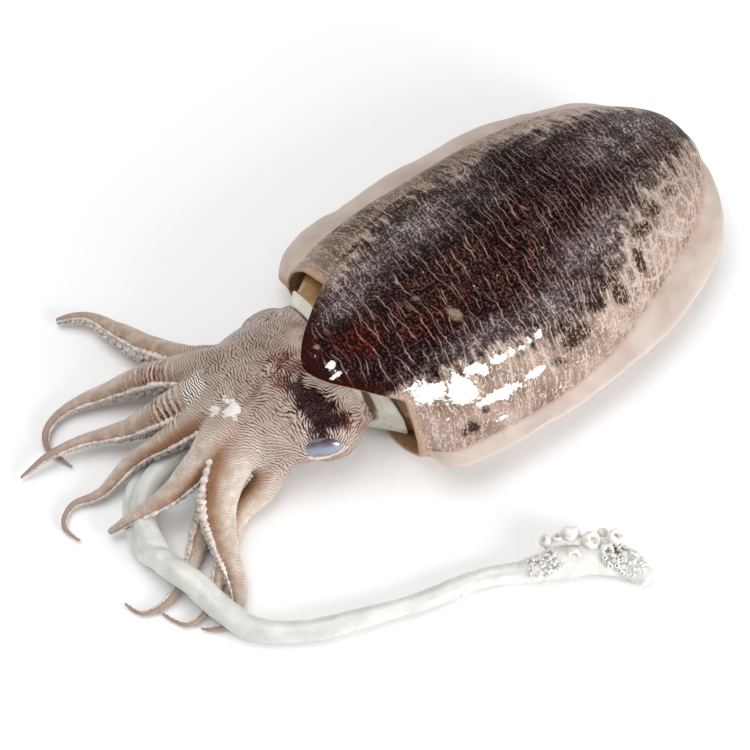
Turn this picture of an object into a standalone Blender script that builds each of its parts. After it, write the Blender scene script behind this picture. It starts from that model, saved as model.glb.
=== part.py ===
"""A whole raw cuttlefish, laid belly down with its arms spread and one feeding tentacle drawn out.

The animal lies along X: the tail is at +X and the arms are at -X. The origin is on the surface it lies on,
under the middle of its box. It is one solid, because a whole cuttlefish is one piece of flesh.
"""
import math

import bmesh
import bpy
from mathutils import Vector

MM = 0.001

# Mantle: the long oval body
AXIS_Y = 23.0                 # line that the mantle lies along, where it is widest
AXIS_LEAN = 0.03              # how much that line turns towards +Y for each millimetre towards the tail
TAIL_X = 171.0                # hind end of the flesh
FRONT_X = -26.0               # front edge at the sides
NEAR_LEAD = 6.0               # how much further forward that edge is on the -Y side
TIP_X = -57.0                 # rounded tip of the back edge, over the head
TIP_SIDE = -8.0               # how far the tip lies to one side of the mantle's line
TIP_NEAR_WIDTH = 32.0         # width of the tip's root on its -Y side
TIP_FAR_WIDTH = 30.0          # and on its other side
TIP_ROUNDNESS = 1.6           # 1 would make the tip a point; more makes it rounder
TIP_DROOP = 3.0               # how far the tip sinks towards the head
WIDEST_X = 45.0               # where the mantle is widest
HALF_WIDTH = 63.0             # half its width there, without the fins
LEAST_HALF_WIDTH = 2.0
SLUMP = 5.0                   # how much further out the body reaches on the -Y side, in front
SLUMP_LOST = 11.0             # how much of that is lost towards the tail
SLUMP_FRONT_START = -28.0     # it sets in between these two
SLUMP_FRONT_END = -12.0
SLUMP_REAR_START = 40.0       # and is lost between these two
SLUMP_REAR_END = 130.0
SLUMP_TAIL = 2.0              # how soon it fades as the body narrows
FRONT_REACH = 121.0           # length of the front curve of its outline
OUTLINE_POWER = 2.3           # 2 would make the outline an ellipse; more makes it fuller
RIDGE_HEIGHT = 59.0           # top of the back
RIDGE_POWER = 3.4             # how late the back falls away towards the tail
FRONT_FALL = 0.55             # how much of that fall the front has
DOME_POWER = 2.4              # these two round the back from the ridge down to the seam
DOME_FULLNESS = 0.62
SEAM_HEIGHT = 19.0            # height of the seam where the fin starts
BELLY_FLAT = 0.55             # part of the half width that lies flat on the surface
BELLY_LENGTH = 0.3            # how far back from the widest place the belly stays flat
BELLY_POWER = 1.6             # how the belly curves up at its sides
TAIL_RISE = 0.8               # how far the belly rises to the seam at the tail
TAIL_RISE_POWER = 2.5
WALL = 5.0                    # thickness of the mantle wall at its opening
OPENING_DEPTH = 12.0          # how far the opening runs in round the neck
TAIL_LIFT = 5.0               # how much higher the seam lies at the tail
TIP_LOW = 0.33                # the tip is drawn out of the part above this share of the height
TIP_FULL = 0.85               # and in full above this one
TIP_POWER = 3                 # how soon behind the front edge the drawing out fades
MANTLE_SECTIONS = 32
LAST_SECTION = 0.9985         # share of the length at which the blunt hind end is closed
BELLY_STOPS = (0.0, 0.3, 0.55, 0.72, 0.87)
DOME_STEPS = 10

# Fins: one thin skirt down each side, meeting at the tail
FIN_WIDTH = 13.0
FIN_WIDTH_NEAR = 11.5         # on the -Y side, where the body doesn't slump
FIN_LEAST = 0.35              # part of its width that the fin keeps at the tail
FIN_GAIN = 1.1                # how fast it widens as the body widens
FIN_FRONT_NEAR = -23.0        # where the fin on the -Y side starts, before the lead of its edge
FIN_FRONT_FAR = -28.5         # where the other one starts
FIN_ROUND_NEAR = 6.0          # length of the rounded front end of the fin on the -Y side
FIN_ROUND_FAR = 17.0          # and of the other one
FIN_LOBE = 0.18               # how much wider the front lobe of the +Y fin is than the rest
FIN_LOBE_X = -6.0
FIN_LOBE_LENGTH = 16.0
FIN_ROOT = 4.4                # thickness at the seam
FIN_EDGE = 2.4                # thickness at the rim
FIN_WAVE = 1.2                # height of the waves in its rim
FIN_WAVES = 5
FIN_DROOP = 3.0               # how far the rim hangs below the seam
FIN_STOPS = ((0.0, -1), (0.5, -1), (0.9, -1), (1.0, 0), (0.9, 1), (0.5, 1))

# Neck and head
NECK = ((-43, 25, 22, 26), (-9, 23, 23, 26))
NECK_SIDES = 24
NECK_STEP = 12.0
NECK_FLATTEN = 0.8
HEAD_MIDDLE = (-56.0, 27.0, 22.0)
HEAD_HALF_LENGTH = 47.0
HEAD_HALF_WIDTH = 36.0
HEAD_HALF_HEIGHT = 22.0
HEAD_BLUNTNESS = 0.75         # 1 would make the head an ellipsoid; less makes it blunter
HEAD_RINGS = 16
HEAD_SIDES = 24
EYE_BULGES = ((-55.0, 3.0, 21.0), (-50.0, 50.0, 20.0))
EYE_BULGE_RADIUS = 16.5
EYE_BULGE_FLATTEN = 0.95
EYES = ((-62.5, -6.0, 24.0), (-56.5, 60.0, 18.0))
EYE_RADIUS = 9.0
EYE_FLATTEN = 0.8
BALL_SEGMENTS = 20            # corners round a large round swelling
SMALL_BALL_SEGMENTS = 14

# Funnel, the tube under the neck that shows at each side of it
FUNNEL = ((-21, -3, 22.0, 9.0), (-35, 0, 20.0, 10.0), (-49, 9, 16.0, 8.0))
FUNNEL_SIDES = 12
FUNNEL_STEP = 6.0

# Arms: route points (x, y, z) with the arm's radius there, from the head to the tip
ARM_SIDES = 9
ARM_STEP = 6.0                # length of one ring of an arm's skin
TIP_ROUND = 0.6               # size of the last ring that rounds off a limb's end
ARMS = {
    "arm_1": ((-71, 47, 22, 12), (-85, 68, 17, 7.2), (-93, 88, 9, 6.6), (-99, 105, 7, 5.2),
              (-104, 119, 6, 3.2), (-110, 125, 5, 2.6), (-116, 129, 3, 1.7)),
    "arm_2": ((-71, 43, 28, 12), (-89, 57, 24, 9), (-102, 71, 14, 7), (-119, 80, 7, 4.8), (-137, 85, 4, 2.7),
              (-149, 82, 3, 2.0), (-154, 74, 2, 1.5), (-152, 66, 1.6, 1.1), (-150, 60, 1.6, 0.8)),
    "arm_3": ((-71, 37, 30, 13), (-93, 43, 28, 9), (-109, 49, 20, 7.2), (-123, 56, 11, 4.8),
              (-140, 65, 7, 3.0), (-156, 68, 6, 2.0), (-171, 68, 2, 0.8)),
    "arm_4": ((-73, 31, 30, 13), (-95, 32, 30, 8.5), (-112, 36, 20, 5.6), (-129, 42, 10, 4.0),
              (-147, 40, 4, 2.6), (-160, 43, 2.5, 1.6), (-168, 37, 2, 1.2), (-166, 27, 1.6, 0.8)),
    "arm_5": ((-75, 25, 28, 13), (-97, 19, 31, 9), (-111, 16, 25, 6.6), (-127, 15, 18, 4.6),
              (-143, 19, 10, 2.8), (-154, 22, 4, 1.5)),
    "arm_6": ((-75, 21, 26, 14), (-99, 9, 27, 9.5), (-114, -2, 19, 7.8), (-120, -14, 10, 6.0),
              (-124, -28, 6, 4.4), (-130, -38, 3, 2.4), (-140, -42, 2, 1.4), (-147, -37, 1.6, 0.8)),
    "arm_7": ((-71, 17, 18, 14), (-89, 1, 11, 8), (-105, -3, 7, 5.6), (-118, -13, 5, 4.4),
              (-130, -24, 4, 3.2), (-141, -32, 2.4, 1.7), (-151, -32, 1.7, 1.1), (-156, -22, 1.6, 0.8)),
    "arm_8": ((-73, 27, 18, 14), (-97, 15, 11, 8), (-112, 7, 6, 5.6), (-126, -4, 5, 4.4),
              (-139, -14, 3.4, 3.0), (-153, -19, 2.2, 1.7), (-163, -17, 1.7, 1.1), (-166, -9, 1.6, 0.8)),
}

# Feeding tentacle: a long smooth strand of flesh that ends in a club
TENTACLE_SIDES = 10
TENTACLE_STEP = 5.0
TENTACLE = ((-79, 29, 15, 7), (-103, 32, 11, 5.5), (-123, 32, 7.5, 5.6), (-137, 23, 6.2, 5.9),
            (-143, 8, 6.2, 5.8), (-144, -6, 9, 5.8), (-140, -22, 11, 5.8), (-137, -37, 9, 5.4),
            (-130, -52, 5.2, 4.8), (-113, -65, 4.8, 4.6), (-93, -73, 4.6, 4.4), (-69, -81, 4.2, 4.0),
            (-44, -87, 4.2, 4.0), (-27, -95, 4.4, 4.4))
CLUB = ((-29, -94, 4.6, 4.6), (-19, -99, 5.8, 6.0), (-7, -104, 6.5, 7.2), (4, -111, 6.3, 7.0),
        (11.5, -119.5, 5.9, 6.6), (14, -128, 4.2, 4.2))
CLUB_SIDES = 12
CLUB_STEP = 4.0
CLUB_FLATTEN = 0.85
CLUB_SUCKERS = ((-11, -93, 9.5, 2.9), (-3, -97, 12.5, 4.0), (-6, -103, 10.5, 3.2), (2, -104, 12.5, 4.2),
                (7, -110, 11.0, 3.0), (11, -109, 12.0, 3.9), (10, -103, 10.5, 2.5))
SUCKER_SEGMENTS = 10
SUCKER_FLATTEN = 0.9
STALK_RADIUS = 1.9            # the stalk that carries each large sucker
STALK_LEAN = (-2.0, -4.0)     # where its foot stands, from right under the sucker
STALK_FOOT = 5.0              # height of that foot, inside the club
STALK_SIDES = 6
STALK_STEP = 4.0

CREASE = math.radians(50.0)   # edges sharper than this stay sharp in the shading


def finish(name, color, roughness):
    """Material of one skin: flesh has no metal in it."""
    material = bpy.data.materials.new(name)
    material.use_nodes = True
    shader = material.node_tree.nodes["Principled BSDF"]
    shader.inputs["Base Color"].default_value = (*color, 1.0)
    shader.inputs["Roughness"].default_value = roughness
    shader.inputs["Metallic"].default_value = 0.0
    return material


def add_object(name, bm, collection):
    """Turns a finished bmesh into an object in a collection."""
    bmesh.ops.recalc_face_normals(bm, faces=bm.faces)
    bmesh.ops.triangulate(bm, faces=bm.faces)
    mesh = bpy.data.meshes.new(name)
    bm.to_mesh(mesh)
    bm.free()
    thing = bpy.data.objects.new(name, mesh)
    collection.objects.link(thing)
    return thing


def loft(name, rings, collection):
    """Closed solid through rings of points, which all have the same count."""
    bm = bmesh.new()
    place = bm.verts.layers.int.new("place")
    circle = bmesh.ops.create_circle(bm, segments=len(rings[0]), radius=MM)["verts"]
    for index, vert in enumerate(circle):
        vert[place] = index
        vert.co = Vector(rings[0][index]) * MM
    edges = bm.edges[:]
    bmesh.ops.contextual_create(bm, geom=edges)
    for ring in rings[1:]:
        grown = bmesh.ops.extrude_edge_only(bm, edges=edges)["geom"]
        verts = [item for item in grown if isinstance(item, bmesh.types.BMVert)]
        fresh = set(verts)
        lines = [item for item in grown if isinstance(item, bmesh.types.BMEdge)]
        edges = [line for line in lines if fresh.issuperset(line.verts)]
        for vert in verts:
            vert.co = Vector(ring[vert[place]]) * MM
    bmesh.ops.contextual_create(bm, geom=edges)
    return add_object(name, bm, collection)


def ball(name, middle, radius, collection, flatten, segments):
    """Round swelling, pressed flatter along Z where flatten is under 1."""
    bm = bmesh.new()
    rings = segments * 3 // 5
    bmesh.ops.create_uvsphere(bm, u_segments=segments, v_segments=rings, radius=radius * MM)
    bmesh.ops.scale(bm, vec=(1.0, 1.0, flatten), verts=bm.verts)
    bmesh.ops.translate(bm, vec=Vector(middle) * MM, verts=bm.verts)
    return add_object(name, bm, collection)


def smooth_route(knots, step):
    """Points with a radius, a step apart, on a smooth curve through the knots."""
    ends = [knots[0]] + list(knots) + [knots[-1]]
    route = []
    for before, start, end, after in zip(ends, ends[1:], ends[2:], ends[3:]):
        pieces = max(1, round((Vector(end[:3]) - Vector(start[:3])).length / step))
        for piece in range(pieces):
            t = piece / pieces
            route.append([0.5 * (2 * b + (c - a) * t + (2 * a - 5 * b + 4 * c - d) * t * t
                                 + (3 * b - a - 3 * c + d) * t ** 3)
                          for a, b, c, d in zip(before, start, end, after)])
    route.append(list(knots[-1]))
    return route


def limb(name, knots, sides, step, collection, flatten=1.0):
    """Tapering round limb along a smooth route; flatten under 1 presses it down onto the surface."""
    route = smooth_route(knots, step)
    rings = []
    for index, (x, y, z, radius) in enumerate(route):
        ahead = Vector(route[min(index + 1, len(route) - 1)][:3])
        behind = Vector(route[max(index - 1, 0)][:3])
        along = (ahead - behind).normalized()
        side = along.cross(Vector((0.0, 0.0, 1.0))).normalized()
        up = side.cross(along)
        ring = []
        for corner in range(sides):
            turn = 2 * math.pi * corner / sides
            out = side * math.cos(turn) + up * math.sin(turn) * flatten
            ring.append(Vector((x, y, z)) + out * radius)
        rings.append(ring)
    middle = Vector(route[-1][:3])
    ahead = along * route[-1][3] * TIP_ROUND
    rings.append([middle + (point - middle) * TIP_ROUND + ahead for point in rings[-1]])
    return loft(name, rings, collection)


def smooth_share(low, high, value):
    """0 below low, 1 above high, with a smooth rise between them."""
    share = min(1.0, max(0.0, (value - low) / (high - low)))
    return share * share * (3.0 - 2.0 * share)


def body_share(x):
    """Share of its full width that the mantle has at x."""
    reach = TAIL_X - WIDEST_X if x > WIDEST_X else FRONT_REACH
    return math.sqrt(max(0.0, 1.0 - (abs(x - WIDEST_X) / reach) ** OUTLINE_POWER))


def slump(x):
    """How much further out the body reaches at x on the -Y side, on which it lies more heavily."""
    lost = SLUMP_LOST * smooth_share(SLUMP_REAR_START, SLUMP_REAR_END, x)
    return (SLUMP - lost) * min(1.0, SLUMP_TAIL * body_share(x))


def fin_width(x, full, front, round_length):
    """Width of a fin at x: it starts with a rounded end and narrows towards the tail."""
    start = min(1.0, max(0.0, (x - front) / round_length))
    rounded = math.sqrt(1.0 - (1.0 - start) ** 2)
    return full * min(1.0, FIN_LEAST + FIN_GAIN * body_share(x)) * rounded


def near_fin(x):
    """Width of the fin on the -Y side, whose rim keeps its line where the body slumps."""
    return fin_width(x, FIN_WIDTH_NEAR - slump(x), FIN_FRONT_NEAR, FIN_ROUND_NEAR)


def far_fin(x):
    """Width of the fin on the +Y side, with its front lobe."""
    lobe = 1.0 + FIN_LOBE * math.exp(-((x - FIN_LOBE_X) / FIN_LOBE_LENGTH) ** 2)
    return fin_width(x, FIN_WIDTH, FIN_FRONT_FAR, FIN_ROUND_FAR) * lobe


def half_section(x, inset, width, spread):
    """Half a section of the mantle at x, from the middle of the belly over the fin to the ridge."""
    half = max(HALF_WIDTH * body_share(x) + spread - inset, LEAST_HALF_WIDTH)
    behind = max(0.0, (x - WIDEST_X) / (TAIL_X - WIDEST_X))
    ahead = max(0.0, (WIDEST_X - x) / (WIDEST_X - TIP_X))
    seam = SEAM_HEIGHT + TAIL_LIFT * behind
    fall = math.sqrt(max(0.0, 1.0 - max(behind, FRONT_FALL * ahead) ** RIDGE_POWER))
    ridge = max(seam + (RIDGE_HEIGHT - seam) * fall - inset, seam + FIN_ROOT)
    rise = max(0.0, (behind - BELLY_LENGTH) / (1.0 - BELLY_LENGTH)) ** TAIL_RISE_POWER
    belly = inset + seam * TAIL_RISE * rise
    points = []
    for v in BELLY_STOPS:
        lift = max(0.0, (v - BELLY_FLAT) / (1.0 - BELLY_FLAT)) ** BELLY_POWER
        points.append((half * v, belly + (seam - belly) * lift))
    turn = 2 * math.pi * FIN_WAVES * (x - FRONT_X) / (TAIL_X - FRONT_X)
    wave = (FIN_WAVE * math.sin(turn) - FIN_DROOP) * width / FIN_WIDTH
    for out, side in FIN_STOPS:
        thick = FIN_ROOT + (FIN_EDGE - FIN_ROOT) * out
        points.append((half + width * out, seam + wave * out + side * thick / 2))
    root = seam + FIN_ROOT / 2
    for step in range(DOME_STEPS + 1):
        v = math.cos(math.pi / 2 * step / DOME_STEPS)
        points.append((half * v, root + (ridge - root) * (1.0 - v ** DOME_POWER) ** DOME_FULLNESS))
    return points


def mantle_ring(share, inset=0.0, with_fin=True, deeper=0.0):
    """Section at a share of the mantle's length, with the tip of its back drawn out over the head."""
    x = FRONT_X + share * (TAIL_X - FRONT_X) + deeper
    near_width = near_fin(x) if with_fin else 0.0
    far_width = far_fin(x) if with_fin else 0.0
    spread = slump(x) * smooth_share(SLUMP_FRONT_START, SLUMP_FRONT_END, x)
    near = [(-y, z) for y, z in half_section(x, inset, near_width, spread)]
    far = half_section(x, inset, far_width, 0.0)[-2:0:-1]
    top = max(z for y, z in near)
    fade = (1.0 - share) ** TIP_POWER
    ring = []
    for y, z in near + far:
        width = TIP_NEAR_WIDTH if y < TIP_SIDE else TIP_FAR_WIDTH
        reach = max(0.0, 1.0 - abs((y - TIP_SIDE) / width) ** TIP_ROUNDNESS)
        reach *= smooth_share(TIP_LOW, TIP_FULL, z / top) * fade
        lead = NEAR_LEAD * min(1.0, max(0.0, -y / HALF_WIDTH)) * fade
        ring.append((x - (FRONT_X - TIP_X) * reach - lead,
                     AXIS_Y + AXIS_LEAN * (x - WIDEST_X) + y, z - TIP_DROOP * reach ** 2))
    return ring


def mantle(collection):
    """Mantle with its fins, hollowed at the front where the neck goes in."""
    rings = [mantle_ring(0.0, WALL, False, OPENING_DEPTH), mantle_ring(0.0, WALL, False)]
    for step in range(MANTLE_SECTIONS + 1):
        rings.append(mantle_ring(LAST_SECTION * math.sin(math.pi / 2 * step / MANTLE_SECTIONS)))
    return loft("mantle", rings, collection)


def head(collection):
    """Head with its two eye bulges, the neck behind it and the funnel under it."""
    x, y, z = HEAD_MIDDLE
    rings = []
    for step in range(1, HEAD_RINGS):
        along = -math.cos(math.pi * step / HEAD_RINGS)
        girth = math.sqrt(1.0 - along * along) ** HEAD_BLUNTNESS
        ring = []
        for corner in range(HEAD_SIDES):
            turn = 2 * math.pi * corner / HEAD_SIDES
            ring.append((x + HEAD_HALF_LENGTH * along, y + HEAD_HALF_WIDTH * girth * math.cos(turn),
                         z + HEAD_HALF_HEIGHT * girth * math.sin(turn)))
        rings.append(ring)
    loft("head", rings, collection)
    for index, middle in enumerate(EYE_BULGES):
        ball("eye_bulge_%d" % index, middle, EYE_BULGE_RADIUS, collection, EYE_BULGE_FLATTEN, BALL_SEGMENTS)
    for index, middle in enumerate(EYES):
        ball("eye_%d" % index, middle, EYE_RADIUS, collection, EYE_FLATTEN, SMALL_BALL_SEGMENTS)
    limb("neck", NECK, NECK_SIDES, NECK_STEP, collection, NECK_FLATTEN)
    limb("funnel", FUNNEL, FUNNEL_SIDES, FUNNEL_STEP, collection)


def arms(collection):
    """Eight arms that taper from the head to their curled tips."""
    for name, knots in ARMS.items():
        limb(name, knots, ARM_SIDES, ARM_STEP, collection)


def tentacle(collection):
    """Drawn-out tentacle, its club, and the club's large suckers standing on it."""
    limb("tentacle", TENTACLE, TENTACLE_SIDES, TENTACLE_STEP, collection)
    limb("club", CLUB, CLUB_SIDES, CLUB_STEP, collection, CLUB_FLATTEN)
    for index, (x, y, z, radius) in enumerate(CLUB_SUCKERS):
        foot = (x + STALK_LEAN[0], y + STALK_LEAN[1], STALK_FOOT, STALK_RADIUS)
        limb("stalk_%d" % index, (foot, (x, y, z, STALK_RADIUS)), STALK_SIDES, STALK_STEP, collection)
        ball("club_sucker_%d" % index, (x, y, z), radius, collection, SUCKER_FLATTEN, SUCKER_SEGMENTS)


def fuse(name, pieces, material):
    """Joins every solid of a collection into one, and removes them."""
    base = bpy.data.objects.new(name, bpy.data.objects["mantle"].data.copy())
    bpy.context.scene.collection.objects.link(base)
    bpy.data.objects.remove(bpy.data.objects["mantle"])
    union = base.modifiers.new("fuse", "BOOLEAN")
    union.operation = "UNION"
    union.operand_type = "COLLECTION"
    union.collection = pieces
    union.solver = "EXACT"
    union.use_self = True
    bpy.context.view_layer.update()
    whole = bpy.data.meshes.new_from_object(base.evaluated_get(bpy.context.evaluated_depsgraph_get()))
    base.modifiers.clear()
    base.data = whole
    for piece in list(pieces.objects):
        bpy.data.objects.remove(piece)
    bpy.data.collections.remove(pieces)
    whole.materials.clear()
    whole.materials.append(material)
    whole.shade_smooth()
    whole.set_sharp_from_angle(angle=CREASE)
    return base


def main():
    for thing in list(bpy.data.objects):
        bpy.data.objects.remove(thing)
    pieces = bpy.data.collections.new("pieces")
    bpy.context.scene.collection.children.link(pieces)
    mantle(pieces)
    head(pieces)
    arms(pieces)
    tentacle(pieces)
    fuse("cuttlefish", pieces, finish("raw_cuttlefish_skin", (0.18, 0.12, 0.10), 0.3))


main()
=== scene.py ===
import math
import random
from functools import partial

import bmesh
import bpy
import numpy as np
from mathutils import Matrix, Vector, noise


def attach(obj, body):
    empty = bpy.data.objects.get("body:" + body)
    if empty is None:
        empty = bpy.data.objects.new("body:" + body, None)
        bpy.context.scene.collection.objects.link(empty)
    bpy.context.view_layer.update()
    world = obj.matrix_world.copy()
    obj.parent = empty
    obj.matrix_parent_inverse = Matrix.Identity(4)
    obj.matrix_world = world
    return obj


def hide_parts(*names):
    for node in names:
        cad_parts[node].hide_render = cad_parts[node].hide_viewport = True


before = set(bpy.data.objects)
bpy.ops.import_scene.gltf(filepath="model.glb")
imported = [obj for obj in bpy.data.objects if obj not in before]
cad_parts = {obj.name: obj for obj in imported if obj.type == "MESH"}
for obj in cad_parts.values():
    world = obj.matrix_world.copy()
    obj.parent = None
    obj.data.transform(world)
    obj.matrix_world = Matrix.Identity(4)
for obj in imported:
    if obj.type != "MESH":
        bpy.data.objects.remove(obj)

mm = 0.001
noise.seed_set(5)                             # noise_vector would otherwise differ in each run
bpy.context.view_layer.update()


def linear(hexColour):
    # sRGB hex to the linear values that a shader wants
    channels = [int(hexColour[i:i + 2], 16) / 255 for i in (1, 3, 5)]
    return tuple(c / 12.92 if c <= 0.04045 else ((c + 0.055) / 1.055) ** 2.4 for c in channels) + (1.0,)


def addNode(tree, kind, settings, *feeds, output=None, **inputs):
    # one node with its settings; links, colours and numbers go to its inputs in their order, or by name
    made = tree.nodes.new("ShaderNode" + kind)
    for name, value in settings.items():
        if name == "stops":
            ramp = made.color_ramp
            while len(ramp.elements) < len(value):
                ramp.elements.new(0.5)
            for element, (place, colour) in zip(ramp.elements, value):
                element.position = place
                element.color = linear(colour) if isinstance(colour, str) else (colour, colour, colour, 1.0)
        else:
            setattr(made, name, value)
    sockets = list(zip([socket for socket in made.inputs if socket.enabled], feeds))
    for socket, value in sockets + [(made.inputs[name], value) for name, value in inputs.items()]:
        if isinstance(value, bpy.types.NodeSocket):
            tree.links.new(value, socket)
        elif isinstance(value, str):
            socket.default_value = linear(value)
        elif isinstance(socket, bpy.types.NodeSocketColor):
            socket.default_value = (value, value, value, 1.0)
        else:
            socket.default_value = value
    return made.outputs[output] if output else next(socket for socket in made.outputs if socket.enabled)


# settings that many nodes share
multiply, add, subtract, highest, multiplyAdd = ({"operation": name} for name in (
    "MULTIPLY", "ADD", "SUBTRACT", "MAXIMUM", "MULTIPLY_ADD"))
clamped = {"operation": "MULTIPLY", "use_clamp": True}
blend = {"data_type": "RGBA"}
soft = {"stops": ((0.35, 0.0), (0.65, 1.0))}
flat = {"noise_dimensions": "2D"}
threads2D = {"gabor_type": "2D"}


def newMaterial(name, coat=(0.0, 0.03), depth=(0.0, 0.05, (1.0, 0.2, 0.1)), values=None):
    # coat: share and roughness of the slime; depth: share, metres and colour of the light that goes in
    material = bpy.data.materials.new(name)
    material.use_nodes = True
    shader = material.node_tree.nodes["Principled BSDF"]
    sockets = ("Coat Weight", "Coat Roughness", "Subsurface Weight", "Subsurface Scale", "Subsurface Radius")
    for socket, value in {"IOR": 1.38, **dict(zip(sockets, coat + depth)), **(values or {})}.items():
        shader.inputs[socket].default_value = value
    return material, partial(addNode, material.node_tree)


def finishMaterial(material, node, colour, rough=None, height=None, strength=0.3, distance=0.6, coat=None):
    # what changes over the surface; distance is the depth of the relief in mm
    bump = node("Bump", {}, Height=height, Strength=strength, Distance=distance * mm) if height else None
    tree = material.node_tree
    for name, output in (("Base Color", colour), ("Roughness", rough), ("Normal", bump), ("Coat Weight", coat)):
        if output:
            tree.links.new(output, tree.nodes["Principled BSDF"].inputs[name])
    return material


def smoothStep(low, high, value):
    share = min(1.0, max(0.0, (value - low) / (high - low)))
    return share * share * (3.0 - 2.0 * share)


def growRings(bm, rings, closed=True):
    # skin through rings of points in mm, each ring pulled out of the one before
    place = bm.verts.layers.int.get("place") or bm.verts.layers.int.new("place")
    row = bm.verts.layers.int.get("row") or bm.verts.layers.int.new("row")
    start = bmesh.ops.create_circle(bm, segments=len(rings[0]), radius=mm)["verts"]
    for index, vert in enumerate(start):
        vert[place] = index
        vert[row] = 0
        vert.co = Vector(rings[0][index]) * mm
    edges = list(dict.fromkeys(edge for vert in start for edge in vert.link_edges))
    if closed:
        bmesh.ops.contextual_create(bm, geom=edges)
    for number, ring in enumerate(rings[1:], 1):
        grown = bmesh.ops.extrude_edge_only(bm, edges=edges)["geom"]
        verts = [item for item in grown if isinstance(item, bmesh.types.BMVert)]
        fresh = set(verts)
        edges = [item for item in grown if isinstance(item, bmesh.types.BMEdge) and fresh.issuperset(item.verts)]
        for vert in verts:
            vert.co = Vector(ring[vert[place]]) * mm
            vert[row] = number
    if closed:
        bmesh.ops.contextual_create(bm, geom=edges)


def smoothRoute(knots, step):
    # points with a radius, a step apart, on a smooth curve through the knots
    ends = [knots[0]] + list(knots) + [knots[-1]]
    route = []
    for before, start, end, after in zip(ends, ends[1:], ends[2:], ends[3:]):
        pieces = max(1, round((Vector(end[:3]) - Vector(start[:3])).length / step))
        for piece in range(pieces):
            t = piece / pieces
            route.append([0.5 * (2 * b + (c - a) * t + (2 * a - 5 * b + 4 * c - d) * t * t
                                 + (3 * b - a - 3 * c + d) * t ** 3)
                          for a, b, c, d in zip(before, start, end, after)])
    route.append(list(knots[-1]))
    return route


def routeFrames(knots, step):
    # middle, along, side, up, radius and the length so far, at points a step apart along a smooth route
    route = smoothRoute(knots, step)
    frames, length = [], 0.0
    for (*before, _), (*place, radius), (*after, _) in zip(route[:1] + route, route, route[1:] + route[-1:]):
        along = (Vector(after) - Vector(before)).normalized()
        side = along.cross(Vector((0.0, 0.0, 1.0))).normalized()
        middle = Vector(place)
        length += (middle - frames[-1][0]).length if frames else 0.0
        frames.append((middle, along, side, side.cross(along), radius, length))
    return frames


def growLimb(bm, knots, sides, step, section=None):
    # tapering limb along a route; section gives the share of the radius at an angle and a length
    frames = routeFrames(knots, step)
    rings = []
    for middle, along, side, up, radius, length in frames:
        ring = []
        for corner in range(sides):
            turn = 2 * math.pi * corner / sides
            wide = section(turn, length) if section else 1.0
            ring.append(middle + (side * math.cos(turn) + up * math.sin(turn)) * radius * wide)
        rings.append(ring)
    middle, along, radius, last = frames[-1][0], frames[-1][1], frames[-1][4], rings[-1]
    for grow in (1.0, 2.0):                   # rounded tip
        shrink = math.sqrt(max(0.02, 1.0 - (grow / 2.2) ** 2))
        rings.append([middle + (point - middle) * shrink + along * radius * 0.6 * grow / 2 for point in last])
    growRings(bm, rings)


def addObject(name, data):
    # from a finished bmesh, or from the data of a lamp or the camera
    if isinstance(data, bmesh.types.BMesh):
        mesh = bpy.data.meshes.new(name)
        data.to_mesh(mesh)
        data.free()
        data = mesh
    made = bpy.data.objects.new(name, data)
    bpy.context.scene.collection.objects.link(made)
    return made


def finishPiece(name, bm, material, values=None):
    # mesh object at the origin that stands for the CAD solid and rides on its body; values holds the number or
    # the vector of each vertex that the material reads by its name
    piece = addObject(name, bm)
    piece.data.shade_smooth()
    piece.data.materials.append(material)
    for attribute, numbers in (values or {}).items():
        numbers = np.asarray(numbers, np.float32)
        kind, field = ("FLOAT_VECTOR", "vector") if numbers.ndim > 1 else ("FLOAT", "value")
        piece.data.attributes.new(attribute, kind, "POINT").data.foreach_set(field, numbers.ravel())
    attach(piece, "root")
    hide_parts("cuttlefish")
    print(name + ":", len(piece.data.polygons), "faces")
    return piece


# the mantle, with its fin, lies along one line; all lengths are in mm
mantleSize = {
    "axisY": 23.0, "axisLean": 0.03,
    "frontX": -26.0, "tailX": 171.0, "widestX": 45.0, "frontReach": 121.0,
    "halfWidth": 63.0, "ridge": 59.0, "seam": 19.0, "tailLift": 5.0,
    "tipX": -57.0, "tipSide": -8.0, "tipWidth": (32.0, 30.0), "tipDroop": 3.0, "nearLead": 6.0,
    "wall": 4.0, "rimWall": 1.7, "openingDepth": 13.0, "lipFrom": (36.0, 50.0), "tipUntil": (46.0, 30.0),
    "bellyFlat": 0.55, "bellyLength": 0.3, "tailRise": 0.8,
    "finWidth": 13.0, "finRoot": 4.4, "finRim": 1.5, "finDroop": 3.0,
    "finFront": (-23.0, -28.5), "finRound": (6.0, 17.0), "finLobe": 0.18, "finLobeX": -6.0, "finLobeLength": 16.0,
    "finWidthNear": 11.5, "slump": 5.0, "slumpLost": 11.0, "slumpFront": (-28.0, -12.0), "slumpRear": (40.0, 130.0),
    "bodyRound": 2.3, "ridgeRound": 3.4, "domeRound": (2.4, 0.62),
    "broadDents": (34.0, 1.3), "smallDents": (13.0, 0.45),    # size and depth
    "puckers": (5.0, 16.0, 0.35), "finWaves": (7.6, 1.1),     # size along, size across, depth; length, height
    "sections": 170, "openingRings": 6, "rimRings": 5,
    "stops": {"belly": 14, "fin": 8, "dome": 54},             # vertices in each zone of half a section
    # (x, near side, far side): surface distance from the ridge at which the dark back ends
    "backEdge": [(-57, -34, 6), (-40, -50, 22), (-20, -52, 30), (0, -53, 39), (20, -55, 44), (45, -60, 43),
                 (60, -60, 42), (80, -50, 41), (100, -36, 37), (120, -28, 32), (145, -19, 25), (171, -6, 10)],
}
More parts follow.
